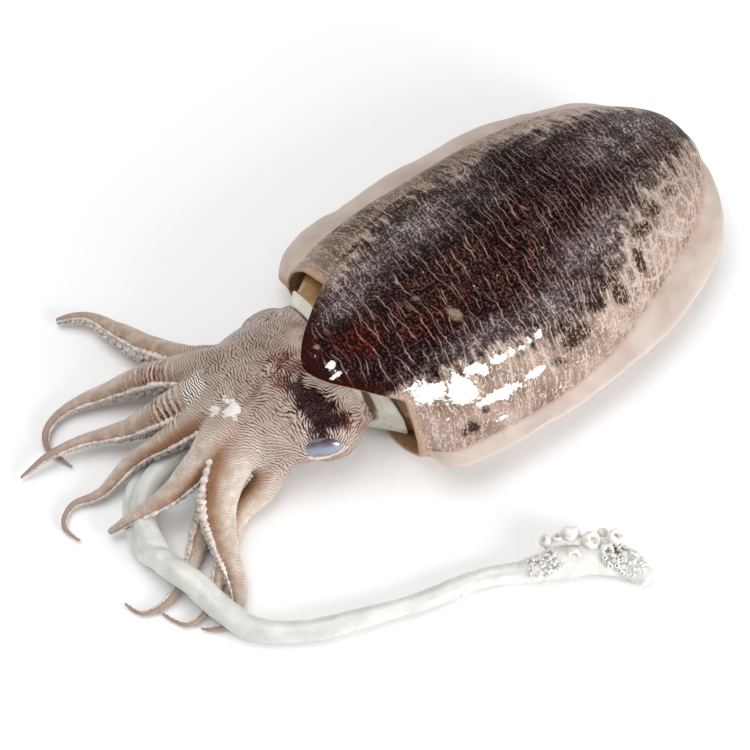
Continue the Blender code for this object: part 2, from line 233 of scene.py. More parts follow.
# soft patches on the back: (x, surface distance from the ridge, half length, half width, strength)
mantlePatches = {
    "red": [(-33, -14, 9, 9, 1.6), (-44, -10, 5, 10, 0.5), (-2, -22, 28, 13, 0.5), (40, -20, 22, 12, 0.45),
            (76, -22, 13, 8, 0.3), (20, -6, 24, 7, 0.4), (62, -4, 6, 5, 0.4)],
    # pale greyish patches painted into the back's colour: a painted sheen of the overhead lamp on the wet skin
    "haze": [(90, -36, 14, 10, 1.0), (-26, 10, 14, 8, 0.8), (-10, 22, 22, 12, 0.9), (22, 24, 26, 12, 1.0),
             (54, 34, 20, 9, 0.7), (58, 14, 9, 5, 0.5), (118, 6, 16, 12, 0.8), (140, 8, 18, 14, 1.0),
             (104, 28, 16, 6, 0.7), (74, -34, 16, 9, 0.9), (96, -26, 12, 8, 0.7), (12, -44, 26, 6, 0.75),
             (50, -46, 18, 8, 0.8), (124, -20, 16, 8, 0.7)],
    "night": [(78, 27, 8, 4.5, 1.3), (-53, -16, 5, 7, 1.4), (-47, -20, 5, 5, 0.8), (-38, 2, 8, 4, 0.5),
              (48, 8, 10, 7, 0.6), (86, 8, 14, 7, 0.4), (108, -8, 9, 7, 0.5), (-20, -34, 16, 6, 0.4),
              (14, 4, 26, 4, 0.4), (96, 40, 9, 2.6, 0.9), (110, 33, 8, 2.6, 0.7), (60, 30, 12, 6, 0.4)],
    "olive": [(10, 54, 30, 12, 1.1), (62, 50, 34, 14, 1.1), (-12, 44, 12, 6, 0.7), (33, 36, 14, 7, 0.7),
              (138, -22, 22, 10, 0.6), (152, 0, 12, 16, 0.5), (120, -34, 14, 6, 0.5), (30, 72, 34, 10, 0.8),
              (100, 48, 20, 10, 0.6)],
    "blotch": [(-10, -78, 6, 4.5, 0.9), (-2, -73, 4, 3, 0.7), (50, -63, 9, 5, 1.1), (66, -56, 6, 4.5, 1.0),
               (79, -58, 5, 5.5, 1.2), (74, -50, 10, 3.5, 0.8), (96.5, -50, 2.6, 7, 1.3), (84, -46, 7, 4, 0.8),
               (104, -38, 9, 5, 0.8), (116, -33, 8, 5, 0.7), (128, -30, 8, 4, 0.6), (46, -57, 7, 3.5, 0.9),
               (20, 44, 22, 2.0, 1.0), (-6, 38, 9, 2.0, 0.9), (2, 66, 6, 5, 0.8), (-22, -82, 5, 3, 0.25),
               (38, -69, 8, 4, 0.6), (24, -76, 5, 3, 0.45)],
    # smooth wet film that takes the clear coat; where it is thickest it is also painted near white as a painted
    # highlight
    "film": [(-20, -56, 8, 4.5, 1.0), (-8, -60, 6.5, 6.5, 1.05), (1, -54, 6, 2.2, 0.95), (7, -69, 10, 2.4, 1.1),
             (25, -67.8, 5.5, 1.8, 1.05), (4.7, -57, 2.4, 2.4, 1.0), (13.5, -55, 4.2, 2.2, 1.0),
             (20, -55, 1.6, 1.5, 1.0), (24.5, -55.5, 1.5, 1.7, 1.0), (29, -54.5, 1.6, 1.5, 0.95),
             (34.5, -54, 2, 1.4, 0.95), (5.5, -80.2, 2.8, 0.8, 1.0), (-49, -15.5, 2.5, 2.4, 0.9),
             (-50, -21, 3, 1.4, 0.9), (35, -81, 1.3, 0.9, 0.9), (41, -68, 1.4, 1.0, 0.9),
             (-19, -70, 1.6, 1.0, 0.9), (-24, -50, 5, 1.6, 0.8)],
    "rust": [(-52, -6, 4, 12, 1.2), (-48, 6, 5, 6, 0.8), (-43, -24, 4, 6, 0.6), (-40, -4, 5, 4, 0.5)],
}
# single marks on the back: (x, surface distance, half length, half width, turn, colour)
mantleMarks = ((8.0, -26.0, 2.7, 5.2, -0.25, "#98826a"), (18.2, -18.2, 1.7, 2.9, -0.2, "#50352a"),
               (-0.5, -10.0, 2.4, 1.7, 0.5, "#8a6f60"), (66.0, -1.0, 0.6, 3.0, -0.35, "#a86f64"),
               (22.0, -7.0, 0.6, 2.6, 0.5, "#a3705f"), (-48.0, -4.0, 1.6, 2.2, 0.3, "#a08468"),
               (48.0, 1.8, 0.6, 1.1, 0.0, "#7b7152"))


def mantleStops():
    # where the vertices of one half of a section lie: (zone, share of that zone)
    belly, fin, dome = mantleSize["stops"].values()
    stops = [("belly", i / belly) for i in range(belly)] + [("under", i / fin) for i in range(fin + 1)]
    stops += [("rim", 0.0)] + [("over", 1.0 - i / fin) for i in range(fin)]
    return stops + [("dome", i / dome) for i in range(dome + 1)]


def mantlePoint(x, stop, inset=0.0, withFin=True, far=0):
    # (distance from the axis, height) of one stop in the section at x; far is 1 on the +Y side
    s = mantleSize
    behind = max(0.0, (x - s["widestX"]) / (s["tailX"] - s["widestX"]))
    ahead = max(0.0, (s["widestX"] - x) / (s["widestX"] - s["tipX"]))
    reach = s["tailX"] - s["widestX"] if x > s["widestX"] else s["frontReach"]
    body = math.sqrt(max(0.0, 1.0 - (abs(x - s["widestX"]) / reach) ** s["bodyRound"]))
    slump = (s["slump"] - s["slumpLost"] * smoothStep(*s["slumpRear"], x)) * min(1.0, 2.0 * body) * (1 - far)
    half = max(s["halfWidth"] * body + slump * smoothStep(*s["slumpFront"], x) - inset, 2.0)
    seam = s["seam"] + s["tailLift"] * behind
    fall = math.sqrt(max(0.0, 1.0 - max(behind, 0.55 * ahead) ** s["ridgeRound"]))
    ridge = max(seam + (s["ridge"] - seam) * fall - inset, seam + s["finRoot"])
    rise = max(0.0, (behind - s["bellyLength"]) / (1.0 - s["bellyLength"])) ** 2.5
    belly = inset + seam * s["tailRise"] * rise
    width = 0.0
    if withFin:
        start = min(1.0, max(0.0, (x - s["finFront"][far]) / s["finRound"][far]))
        lobe = 1.0 + far * s["finLobe"] * math.exp(-((x - s["finLobeX"]) / s["finLobeLength"]) ** 2)
        full = s["finWidth"] if far else s["finWidthNear"] - slump
        width = full * min(1.0, 0.35 + 1.1 * body) * math.sqrt(1.0 - (1.0 - start) ** 2) * lobe
    zone, share = stop
    if zone == "belly":
        lift = max(0.0, (share - s["bellyFlat"]) / (1.0 - s["bellyFlat"]))
        return half * share, belly + (seam - s["finRoot"] / 2 - belly) * lift ** 1.6
    if zone == "dome":
        v = math.cos(math.pi / 2 * share)
        root = seam + s["finRoot"] / 2
        return half * v, root + (ridge - root) * (1.0 - v ** s["domeRound"][0]) ** s["domeRound"][1]
    if zone == "rim":
        return half + width + s["finRim"] * 0.4, seam - s["finDroop"] * width / s["finWidth"]
    side = -1.0 if zone == "under" else 1.0
    thick = s["finRoot"] + (s["finRim"] - s["finRoot"]) * smoothStep(0.0, 0.8, share)
    return half + width * share, seam - s["finDroop"] * share * width / s["finWidth"] + side * thick / 2


def mantleRing(stops, share, inset=0.0, withFin=True, deeper=0.0):
    s = mantleSize
    x = s["frontX"] + share * (s["tailX"] - s["frontX"]) + deeper
    near = [(-y, z) for y, z in (mantlePoint(x, stop, inset, withFin) for stop in stops)]
    far = [mantlePoint(x, stop, inset, withFin, 1) for stop in reversed(stops[1:-1])]
    points = near + far
    top = max(z for y, z in points)
    fade = (1.0 - share) ** 3
    ring = []
    for y, z in points:
        width = s["tipWidth"][0] if y < s["tipSide"] else s["tipWidth"][1]
        reach = max(0.0, 1.0 - abs((y - s["tipSide"]) / width) ** 1.6) * smoothStep(0.33, 0.85, z / top) * fade
        lead = s["nearLead"] * min(1.0, max(0.0, -y / s["halfWidth"])) * fade
        ring.append((x - (s["frontX"] - s["tipX"]) * reach - lead,
                     s["axisY"] + s["axisLean"] * (x - s["widestX"]) + y, z - s["tipDroop"] * reach ** 2))
    return ring


def backMargin(x, arc):
    # how far outside the dark back a place lies, in mm; negative inside it
    for (x0, near0, far0), (x1, near1, far1) in zip(mantleSize["backEdge"], mantleSize["backEdge"][1:]):
        if x <= x1:
            break
    t = min(1.0, max(0.0, (x - x0) / (x1 - x0)))
    return max((near0 + (near1 - near0) * t) - arc, arc - (far0 + (far1 - far0) * t))


def patchValue(name, x, arc):
    # strongest of the soft patches at a place
    return max(strength * math.exp(-((x - px) / halfLength) ** 2 - ((arc - pa) / halfWidth) ** 2)
               for px, pa, halfLength, halfWidth, strength in mantlePatches[name])


def makeMantle():
    s = mantleSize
    stops = mantleStops()
    rings = []
    # from deep in the opening out to its rim, round the rim, and along the outside
    for step in range(s["openingRings"] + 1):
        depth = s["openingDepth"] * (1.0 - step / s["openingRings"])
        thick = s["rimWall"] + (s["wall"] + 2.0 - s["rimWall"]) * math.sqrt(depth / s["openingDepth"])
        rings.append(mantleRing(stops, 0.0, thick, False, depth))
    for step in range(1, s["rimRings"]):
        turn = math.pi * step / s["rimRings"]
        rings.append(mantleRing(stops, 0.0, s["rimWall"] * (0.5 + 0.5 * math.cos(turn)), step > 3,
                                -0.4 * s["rimWall"] * math.sin(turn)))
    firstOuter = len(rings)
    for step in range(s["sections"] + 1):
        share = step / s["sections"]
        rings.append(mantleRing(stops, 0.9985 * math.sin(math.pi / 2 * share ** 0.93)))
    bm = bmesh.new()
    growRings(bm, rings)
    bmesh.ops.recalc_face_normals(bm, faces=bm.faces)
    bm.normal_update()
    half = len(stops)
    place = bm.verts.layers.int["place"]
    row = bm.verts.layers.int["row"]
    zones = stops + list(reversed(stops[1:-1]))
    arcs = []                                 # surface distance from the ridge, so that patterns keep their size
    for ring in rings:
        arc = [0.0] * len(ring)
        for index in range(half - 2, -1, -1):
            arc[index] = arc[index + 1] - (Vector(ring[index]) - Vector(ring[index + 1])).length
        for index in range(half, len(ring)):
            arc[index] = arc[index - 1] + (Vector(ring[index]) - Vector(ring[index - 1])).length
        arcs.append(arc)
    (broadSize, broadDepth), (smallSize, smallDepth) = s["broadDents"], s["smallDents"]
    puckerLength, puckerWidth, puckerDepth = s["puckers"]
    values = {name: [] for name in ("skin", "fin", "tan", "inside", "lip", "rimTip", *mantlePatches)}
    for vert in bm.verts:
        zone, share = zones[vert[place]]
        arc = arcs[vert[row]][vert[place]]
        side = -1.0 if vert[place] < half - 1 else 1.0
        spot = vert.co / mm
        values["skin"].append((spot.x / 100, arc / 100, 0.0))
        values["fin"].append(share if zone in ("under", "over") else 1.0 if zone in ("rim", "belly") else 0.0)
        values["tan"].append(smoothStep(-21.0, 19.0, backMargin(spot.x, arc)))
        values["inside"].append(1.0 if vert[row] < firstOuter - 2 else 0.0)
        onRim = firstOuter - 4 <= vert[row] <= firstOuter
        fromTip = abs(arc - s["tipSide"])
        values["lip"].append(smoothStep(*s["lipFrom"], fromTip) if onRim else 0.0)
        onTip = smoothStep(firstOuter + 3.0, firstOuter, vert[row]) * smoothStep(*s["tipUntil"], fromTip)
        values["rimTip"].append(onTip if zone == "dome" else 0.0)
        for name in mantlePatches:
            values[name].append(patchValue(name, spot.x, arc))
        # slack, uneven flesh: broad dents, small puckers towards the seam, waves in the fin's rim
        broad = noise.noise(spot / broadSize) * broadDepth
        broad += noise.noise(spot / smallSize + Vector((5, 1, 2))) * smallDepth
        pucker = noise.noise(Vector((spot.x / puckerLength, spot.y / puckerWidth, 3.0))) * puckerDepth
        if zone == "dome":
            nearSeam = smoothStep(0.5, 0.02, share)
            move = (broad * (1.0 - 0.6 * nearSeam) + pucker * nearSeam) * smoothStep(0.0, 0.06, share)
            vert.co += vert.normal * move * mm
        elif zone != "belly":
            wave = math.sin(spot.x / s["finWaves"][0] + side * 1.1 + 1.7 * noise.noise(spot / 30.0))
            wave += 0.7 * noise.noise(Vector((spot.x / 9.0, spot.y / 9.0, side)))
            vert.co.z += s["finWaves"][1] * wave * values["fin"][-1] ** 1.5 * mm
    finishPiece("mantle", bm, mantleSkin(), values)


def mantleSkin():
    # raw cuttlefish skin, wet and elastic: colour cells like fine dark grit over pale flesh, scored across by
    # pale lines, under a clear film of slime that gives hard bright glints where it lies smooth; where the film is
    # thickest the colour is painted near white as well, a painted highlight
    material, node = newMaterial("wetMantleSkin", (0.0, 0.05), (0.05, 0.003, (1.0, 0.4, 0.25)),
                                 {"Specular IOR Level": 0.06, "Coat IOR": 1.5})
    skin = node("Attribute", {"attribute_name": "skin"}, output="Vector")
    zone = {name: node("Attribute", {"attribute_name": name}, output="Fac")
            for name in ("fin", "tan", "inside", "lip", "rimTip", *mantlePatches)}

    # one unit of the skin's own coordinates is 100 mm, so a scale is 100 over the size in mm
    cloud = node("TexNoise", {}, skin, 100 / 22, 4.0, 0.6)
    mottle = node("TexNoise", {}, skin, 100 / 6, 4.0, 0.65)
    cloudShare = node("ValToRGB", {"stops": ((0.38, 0.0), (0.62, 1.0))}, cloud)
    mottleShare = node("ValToRGB", {"stops": ((0.32, 0.35), (0.6, 1.15))}, mottle)
    ragged = node("Math", multiplyAdd, mottle, 1.6, -0.8)

    # push the coordinates about, so that no line across the back runs straight
    push = node("TexNoise", {}, skin, 100 / 16, 2.0, output="Color")
    pushed = node("VectorMath", multiplyAdd, push, (0.06, 0.03, 0.0), skin)
    wriggle = node("TexNoise", {}, skin, 100 / 4.5, 3.0, output="Color")
    wriggled = node("VectorMath", multiplyAdd, wriggle, (0.022, 0.014, 0.0), pushed)

    # pale lines across the back that break and fork, 5 mm apart in front and 2.5 mm towards the tail
    lengthwise = node("SeparateXYZ", {}, skin)
    closeness = node("MapRange", {}, lengthwise, 0.4, 1.1, 1.75, 3.4)
    lines = None
    for shift, turn, low in ((0.0, 0.1, 0.12), (7.0, 0.34, 0.3), (13.0, -0.1, 0.36)):
        linePlace = node("Mapping", {}, wriggled, (shift, shift, 0.0), (0.0, 0.0, turn), (100 / 8.5, 100 / 13, 1.0))
        phase = node("TexGabor", threads2D, linePlace, 1.0, closeness, 1.0, 0.0, output="Phase")
        strong = node("ValToRGB", {"stops": ((low, 0.0), (low + 0.2, 1.0))}, phase.node.outputs["Intensity"])
        line = node("ValToRGB", {"stops": ((0.43, 0.0), (0.48, 1.0), (0.52, 1.0), (0.57, 0.0))}, phase)
        line = node("Math", multiply, line, strong)
        lines = node("Math", highest, lines, line) if lines else line
    # finer, fainter threads between them, 2.2 mm apart
    threadPlace = node("Mapping", {}, wriggled, (3.0, 5.0, 0.0), (0.0, 0.0, 0.3), (100 / 5, 100 / 7, 1.0))
    threads = node("TexGabor", threads2D, threadPlace, 1.0, 2.3, 0.8, 0.0, output="Value")
    threads = node("ValToRGB", {"stops": ((0.55, 0.0), (0.72, 1.0))}, threads)
    # broad streaks that run the same way
    streakPlace = node("Mapping", {}, pushed, Rotation=(0.0, 0.0, 0.12), Scale=(100 / 3.5, 100 / 22, 1.0))
    streaks = node("TexNoise", flat, streakPlace, 1.0, 2.0)
    streaks = node("Math", multiplyAdd, streaks, 2.4, -1.2)

    # colour cells like grit; the real ones are half as big and would blur into an even tone
    gritPlace = node("Mapping", {}, pushed, Scale=(100 / 1.15, 100 / 1.4, 1.0))
    grit = node("TexNoise", flat, gritPlace, 1.0, 2.0, 0.6)
    grain = grit
    for source, share in ((threads, 0.14), (ragged, 0.27), (streaks, 0.06)):
        grain = node("Math", multiplyAdd, source, share, grain)
    grain = node("ValToRGB", {"stops": ((0.47, 0.0), (0.58, 0.3), (0.69, 1.0))}, grain)

    # dark back: the colour of the cells and the paler colour between them, with the patches mixed into both
    shares = {name: node("Math", clamped, zone[name], mottleShare)
              for name in ("red", "haze", "night", "olive", "rust")}
    cells = node("Mix", blend, cloudShare, "#070201", "#100605")
    between = node("Mix", blend, cloudShare, "#4a2c29", "#664b46")
    # the pale grey patches here are painted sheen
    for name, cellColour, betweenColour in (("haze", "#514644", "#aea19f"), ("olive", "#2e231a", "#8f8068"),
                                            ("red", "#120202", "#702a20"), ("rust", "#1c0403", "#6d2118"),
                                            ("night", "#05070c", "#29303b")):
        cells = node("Mix", blend, shares[name], cells, cellColour)
        between = node("Mix", blend, shares[name], between, betweenColour)
    back = node("Mix", blend, grain, cells, between)

    # tan margins with dark blotches and a branching paler net with meshes of 6 by 10 mm
    netPlace = node("Mapping", {}, wriggled, Rotation=(0.0, 0.0, 0.5), Scale=(100 / 6, 100 / 10, 1.0))
    net = node("TexVoronoi", {"voronoi_dimensions": "2D", "feature": "DISTANCE_TO_EDGE"}, netPlace, 1.0)
    net = node("ValToRGB", {"stops": ((0.02, 1.0), (0.17, 0.0))}, net)
    margin = node("Mix", blend, cloudShare, "#7c6356", "#a48c7f")
    dusty = node("Mix", blend, shares["olive"], margin, "#37281c")
    bright = node("Mix", blend, shares["olive"], "#c6b4a8", "#94826b")
    furrows = node("Math", multiplyAdd, streaks, 0.5, node("Math", multiply, grain, 0.8))
    furrows = node("ValToRGB", {"stops": ((0.08, 0.0), (0.36, 0.5), (0.62, 1.0))}, furrows)
    netted = node("Math", multiply, node("MapRange", {}, lengthwise, 0.5, 0.95, 0.1, 0.9), mottleShare)
    furrows = node("Math", highest, furrows, node("Math", multiply, net, netted))
    margin = node("Mix", blend, furrows, dusty, bright)
    blotch = node("ValToRGB", soft, node("Math", add, zone["blotch"], ragged))
    spotted = node("ValToRGB", {"stops": ((0.2, 0.95), (0.8, 0.45))}, grain)
    margin = node("Mix", blend, node("Math", multiply, blotch, spotted), margin, "#2e140c")
    tanEdge = ragged
    for source, share in ((zone["tan"], 1.8), (lines, 0.3), (streaks, 0.45)):
        tanEdge = node("Math", multiplyAdd, source, share, tanEdge)
    tanEdge = node("ValToRGB", {"stops": ((0.5, 0.0), (0.72, 0.3), (1.0, 1.0))}, tanEdge)
    colour = node("Mix", blend, tanEdge, back, margin)
    # the pale lines are paler still under the painted sheen
    lineColour = node("Mix", blend, shares["haze"], "#a98477", "#b9aba6")
    lineColour = node("Mix", blend, tanEdge, lineColour, "#d6c6ba")
    fainter = node("Math", multiplyAdd, tanEdge, -0.3, 0.92)
    lineShare = node("Math", multiply, node("Math", clamped, lines, mottleShare), fainter)
    colour = node("Mix", blend, lineShare, colour, lineColour)

    # glossy dark-red rim of the tip that lies over the head, and single marks
    tip = node("Math", clamped, zone["rimTip"], mottleShare)
    colour = node("Mix", blend, tip, colour, "#2c0806")
    for x, arc, halfLength, halfWidth, turn, markColour in mantleMarks:
        away = node("VectorMath", subtract, wriggled, (x / 100 + 0.033, arc / 100 + 0.02, 0.0))
        away = node("VectorRotate", {"rotation_type": "Z_AXIS"}, away, Angle=turn)
        away = node("VectorMath", multiply, away, (50 / halfLength, 50 / halfWidth, 0.0))
        away = node("VectorMath", {"operation": "LENGTH"}, away, output="Value")
        away = node("Math", multiplyAdd, grit, 0.5, away)
        rimmed = node("ValToRGB", {"stops": ((0.7, 0.8), (0.95, 0.0))}, away)
        mark = node("ValToRGB", {"stops": ((0.5, 0.85), (0.75, 0.0))}, away)
        colour = node("Mix", blend, rimmed, colour, "#1c0d0b")
        colour = node("Mix", blend, mark, colour, markColour)

    # fin: bare pinkish flesh with a thin strand along its seam; then the opening and its lip
    finShare = node("ValToRGB", {"stops": ((0.0, 0.0), (0.12, 1.0))}, zone["fin"])
    finRim = node("ValToRGB", {"stops": ((0.55, 0.0), (1.0, 0.6))}, zone["fin"])
    seam = node("ValToRGB", {"stops": ((0.0, 0.0), (0.06, 1.0), (0.2, 0.0))}, zone["fin"])
    seam = node("Math", multiply, seam, node("ValToRGB", {"stops": ((0.42, 0.0), (0.6, 0.8))}, mottle))
    finColour = node("Mix", blend, finRim, node("Mix", blend, cloudShare, "#b9a69b", "#c9bab0"), "#cfc3ba")
    cavity = node("Mix", blend, mottleShare, "#7a5236", "#a58465")
    for share, over in ((finShare, finColour), (seam, "#b98f78"), (zone["inside"], cavity), (zone["lip"], "#b99a84")):
        colour = node("Mix", blend, share, colour, over)

    # smooth film in places, dull grit elsewhere; where the film is thickest the colour is painted near white, a
    # painted highlight
    film = node("Math", add, node("Math", multiplyAdd, grit, 0.7, zone["film"]), ragged)
    film = node("ValToRGB", {"stops": ((0.72, 0.0), (0.8, 1.0))}, film)
    # painted highlight: the colour goes near white where the film is thickest
    colour = node("Mix", blend, node("Math", multiply, film, 0.85), colour, "#f3f1ef")
    coat = node("Mix", blend, film, 0.0, 1.0)
    dull = node("ValToRGB", {"stops": ((0.3, 0.34), (0.7, 0.5))}, grit)
    rough = node("Mix", blend, film, node("Mix", blend, finShare, dull, 0.4), 0.1)
    relief = node("Math", subtract, 0.55, node("Math", highest, finShare, film))
    height = node("Math", clamped, node("Math", add, grain, lines), relief)
    height = node("Math", multiplyAdd, mottle, 0.6, height)
    return finishMaterial(material, node, colour, rough, height, 0.55, 0.6, coat)


print("mantle and fin")
makeMantle()


# head, neck and arms: routes are (x, y, z, radius) in mm; suckers: the angle round the arm at which they sit,
# from its side (0) over its top (90)
armRoutes = {
    "arm1": {"suckers": 170, "knots": ((-71, 47, 22, 12), (-85, 68, 17, 7.2), (-93, 88, 9, 6.6), (-99, 105, 7, 5.2),
             (-104, 119, 6, 3.2), (-110, 125, 5, 2.6), (-116, 129, 3, 1.7))},
    "arm2": {"suckers": 190, "knots": ((-71, 43, 28, 12), (-89, 57, 24, 9), (-102, 71, 14, 7), (-119, 80, 7, 4.8),
             (-137, 85, 4, 2.7), (-149, 82, 3, 2.0), (-154, 74, 2, 1.5), (-152, 66, 1.6, 1.1), (-150, 60, 1.6, 0.8))},
    "arm3": {"suckers": 192, "knots": ((-71, 37, 30, 13), (-93, 43, 28, 9), (-109, 49, 20, 7.2), (-123, 56, 11, 4.8),
             (-140, 65, 7, 3.0), (-156, 68, 6, 2.0), (-171, 68, 2, 0.8))},
    "arm4": {"suckers": 196, "knots": ((-73, 31, 30, 13), (-95, 32, 30, 8.5), (-112, 36, 20, 5.6),
             (-129, 42, 10, 4.0), (-147, 40, 4, 2.6), (-160, 43, 2.5, 1.6), (-168, 37, 2, 1.2),
             (-166, 27, 1.6, 0.8))},
    "arm5": {"suckers": 214, "knots": ((-75, 25, 28, 13), (-97, 19, 31, 9), (-111, 16, 25, 6.6), (-127, 15, 18, 4.6),
             (-143, 19, 10, 2.8), (-154, 22, 4, 1.5))},
    "arm6": {"suckers": 6, "knots": ((-75, 21, 26, 14), (-99, 9, 27, 9.5), (-114, -2, 19, 7.8), (-120, -14, 10, 6.0),
             (-124, -28, 6, 4.4), (-130, -38, 3, 2.4), (-140, -42, 2, 1.4), (-147, -37, 1.6, 0.8))},
    "arm7": {"suckers": 20, "knots": ((-71, 17, 18, 14), (-89, 1, 11, 8), (-105, -3, 7, 5.6), (-118, -13, 5, 4.4),
             (-130, -24, 4, 3.2), (-141, -32, 2.4, 1.7), (-151, -32, 1.7, 1.1), (-156, -22, 1.6, 0.8))},
    "arm8": {"suckers": 30, "knots": ((-73, 27, 18, 14), (-97, 15, 11, 8), (-112, 7, 6, 5.6), (-126, -4, 5, 4.4),
             (-139, -14, 3.4, 3.0), (-153, -19, 2.2, 1.7), (-163, -17, 1.7, 1.1), (-166, -9, 1.6, 0.8))},
}
headSize = {
    "middle": (-56.0, 27.0, 22.0), "halfLength": 47.0, "halfWidth": 36.0, "halfHeight": 22.0,
    "bulges": ((-55.0, 3.0, 21.0), (-50.0, 50.0, 20.0)), "bulgeRadius": 16.5,
    "neck": ((-43, 25, 22, 26), (-9, 23, 23, 26)), "neckFlatten": 0.8,
    "voxel": 0.85,                            # size of the mesh's squares
    # how often the arms' roots are smoothed, and where each time begins
    "blend": 8, "blendFrom": -112.0, "blendStep": 2.0,
    "dents": ((11.0, 0.5), (4.5, 0.25)),      # size and depth
    # shallow valleys in the head: start, end, half width and depth
    "valleys": (((-60, 28, 44), (-86, 21, 40), 1.6, 1.6), ((-62, 33, 44), (-80, 40, 40), 1.5, 0.7),
                ((-46, 56, 32), (-62, 36, 44), 3.0, 1.6), ((-40, 4, 40), (-36, -6, 24), 2.5, 1.5)),
    "eyes": ((-64.5, -7.0, 28.0), (-56.0, 63.0, 17.0)),
}
# soft round patches on the head: place, radius, strength
headPatches = {
    # dark cloud across the head, and its thin red end, where it is only a network
    "purple": (((-62, 18, 43), 5.5, 0.7), ((-62, 12, 42), 7, 1.05), ((-60.5, 6.5, 40.5), 8, 1.25),
               ((-59.5, 2, 38.5), 9, 1.3), ((-60, -2, 36.5), 8.5, 1.2), ((-56.5, -4.5, 35.5), 7, 1.1),
               ((-64, -4, 33), 7, 0.95), ((-64.4, 31, 43.6), 2, 0.8)),
    "flush": (((-59, 27, 43.8), 8, 0.85), ((-58, 21, 43.3), 7, 0.85), ((-65, 20, 43), 8, 0.85),
              ((-53, -6.5, 33.8), 6, 1.1), ((-52, -1.5, 36), 5, 0.8), ((-49, -8, 32), 4, 0.5)),
    "brown": (((-74, 27, 43), 14, 0.7), ((-70, 14, 42), 12, 0.6), ((-62, 44, 41), 10, 0.5),
              ((-50, 42, 41), 5, 0.6), ((-84, 44, 38), 8, 0.4)),
    "pale": (((-50, 31, 43.5), 6, 1.2), ((-47, 36, 43), 5, 1.0), ((-51, 22, 43.5), 5, 1.1), ((-50, 12, 41.5), 6, 1.1),
             ((-46, 2, 37), 7, 0.9), ((-38, 2, 34), 8, 0.9), ((-40, 44, 36), 8, 0.7), ((-56, 2, 8), 14, 0.7),
             ((-36, 10, 30), 9, 0.8), ((-72, -4, 14), 9, 0.5), ((-78, 2, 30), 8, 0.45)),
    # white: torn patches of white slime; the last, small spot above the near eye is a painted glint
    "white": (((-90, 21, 40), 4.5, 1.0), ((-95, 26, 38.5), 3.6, 0.9), ((-88, 26, 40), 3.2, 0.8),
              ((-60, -4.5, 34), 2.4, 0.9)),
    "rosy": (((-53, 66, 24), 5, 1.2), ((-60, 65, 22), 4, 1.0), ((-47, 66, 24), 4, 0.9), ((-46, 38, 42), 6, 0.7),
             ((-44, -8, 26), 6, 0.6), ((-50, 26, 43), 6, 0.6)),
    "blue": (((-50, 62, 28), 5, 1.0), ((-57, 61, 28), 5, 1.0), ((-64, 58, 28), 5, 0.8), ((-42, 56, 30), 6, 0.8),
             ((-40, 48, 34), 5, 0.6)),
    "zebra": (((-95, 43, 36), 5.5, 1.3), ((-90, 48, 35.5), 3.5, 1.0), ((-100, 40, 34), 3.5, 0.9)),
    "bars": (((-103, 66, 22), 10, 1.6), ((-109, 45, 28), 9, 1.6), ((-92, 46, 34), 7, 1.3), ((-101, 50, 28), 7, 1.1),
             ((-109, 53, 22), 7, 0.9), ((-100, 64, 22), 9, 0.9), ((-88, 44, 36), 5, 1.3), ((-108, 70, 17), 7, 0.8)),
}


def armSection(turn, oral):
    # flatter on the side with the suckers, with a low keel on the other
    facing = math.cos(turn - math.radians(oral))
    return 1.0 - 0.13 * max(0.0, facing) ** 2 + 0.05 * max(0.0, -facing) ** 6


def voxelSkin(bm, size):
    # melts overlapping shapes into one even skin
    rough = addObject("melt", bm)
    remesh = rough.modifiers.new("melt", "REMESH")
    remesh.mode = "VOXEL"
    remesh.voxel_size = size * mm
    remesh.adaptivity = 0.0
    bpy.context.view_layer.update()
    melted = bpy.data.meshes.new_from_object(rough.evaluated_get(bpy.context.evaluated_depsgraph_get()))
    bm = bmesh.new()
    bm.from_mesh(melted)
    for mesh in (melted, rough.data):         # the object goes with its mesh
        bpy.data.meshes.remove(mesh)
    return bm


def relax(bm, verts):
    bmesh.ops.smooth_vert(bm, verts=verts, factor=0.5, use_axis_x=True, use_axis_y=True, use_axis_z=True)


def spotValue(spots, place):
    # strongest of the soft round patches at a place
    return max(strength * math.exp(-((place - Vector(middle)).length / radius) ** 2)
               for middle, radius, strength in spots)


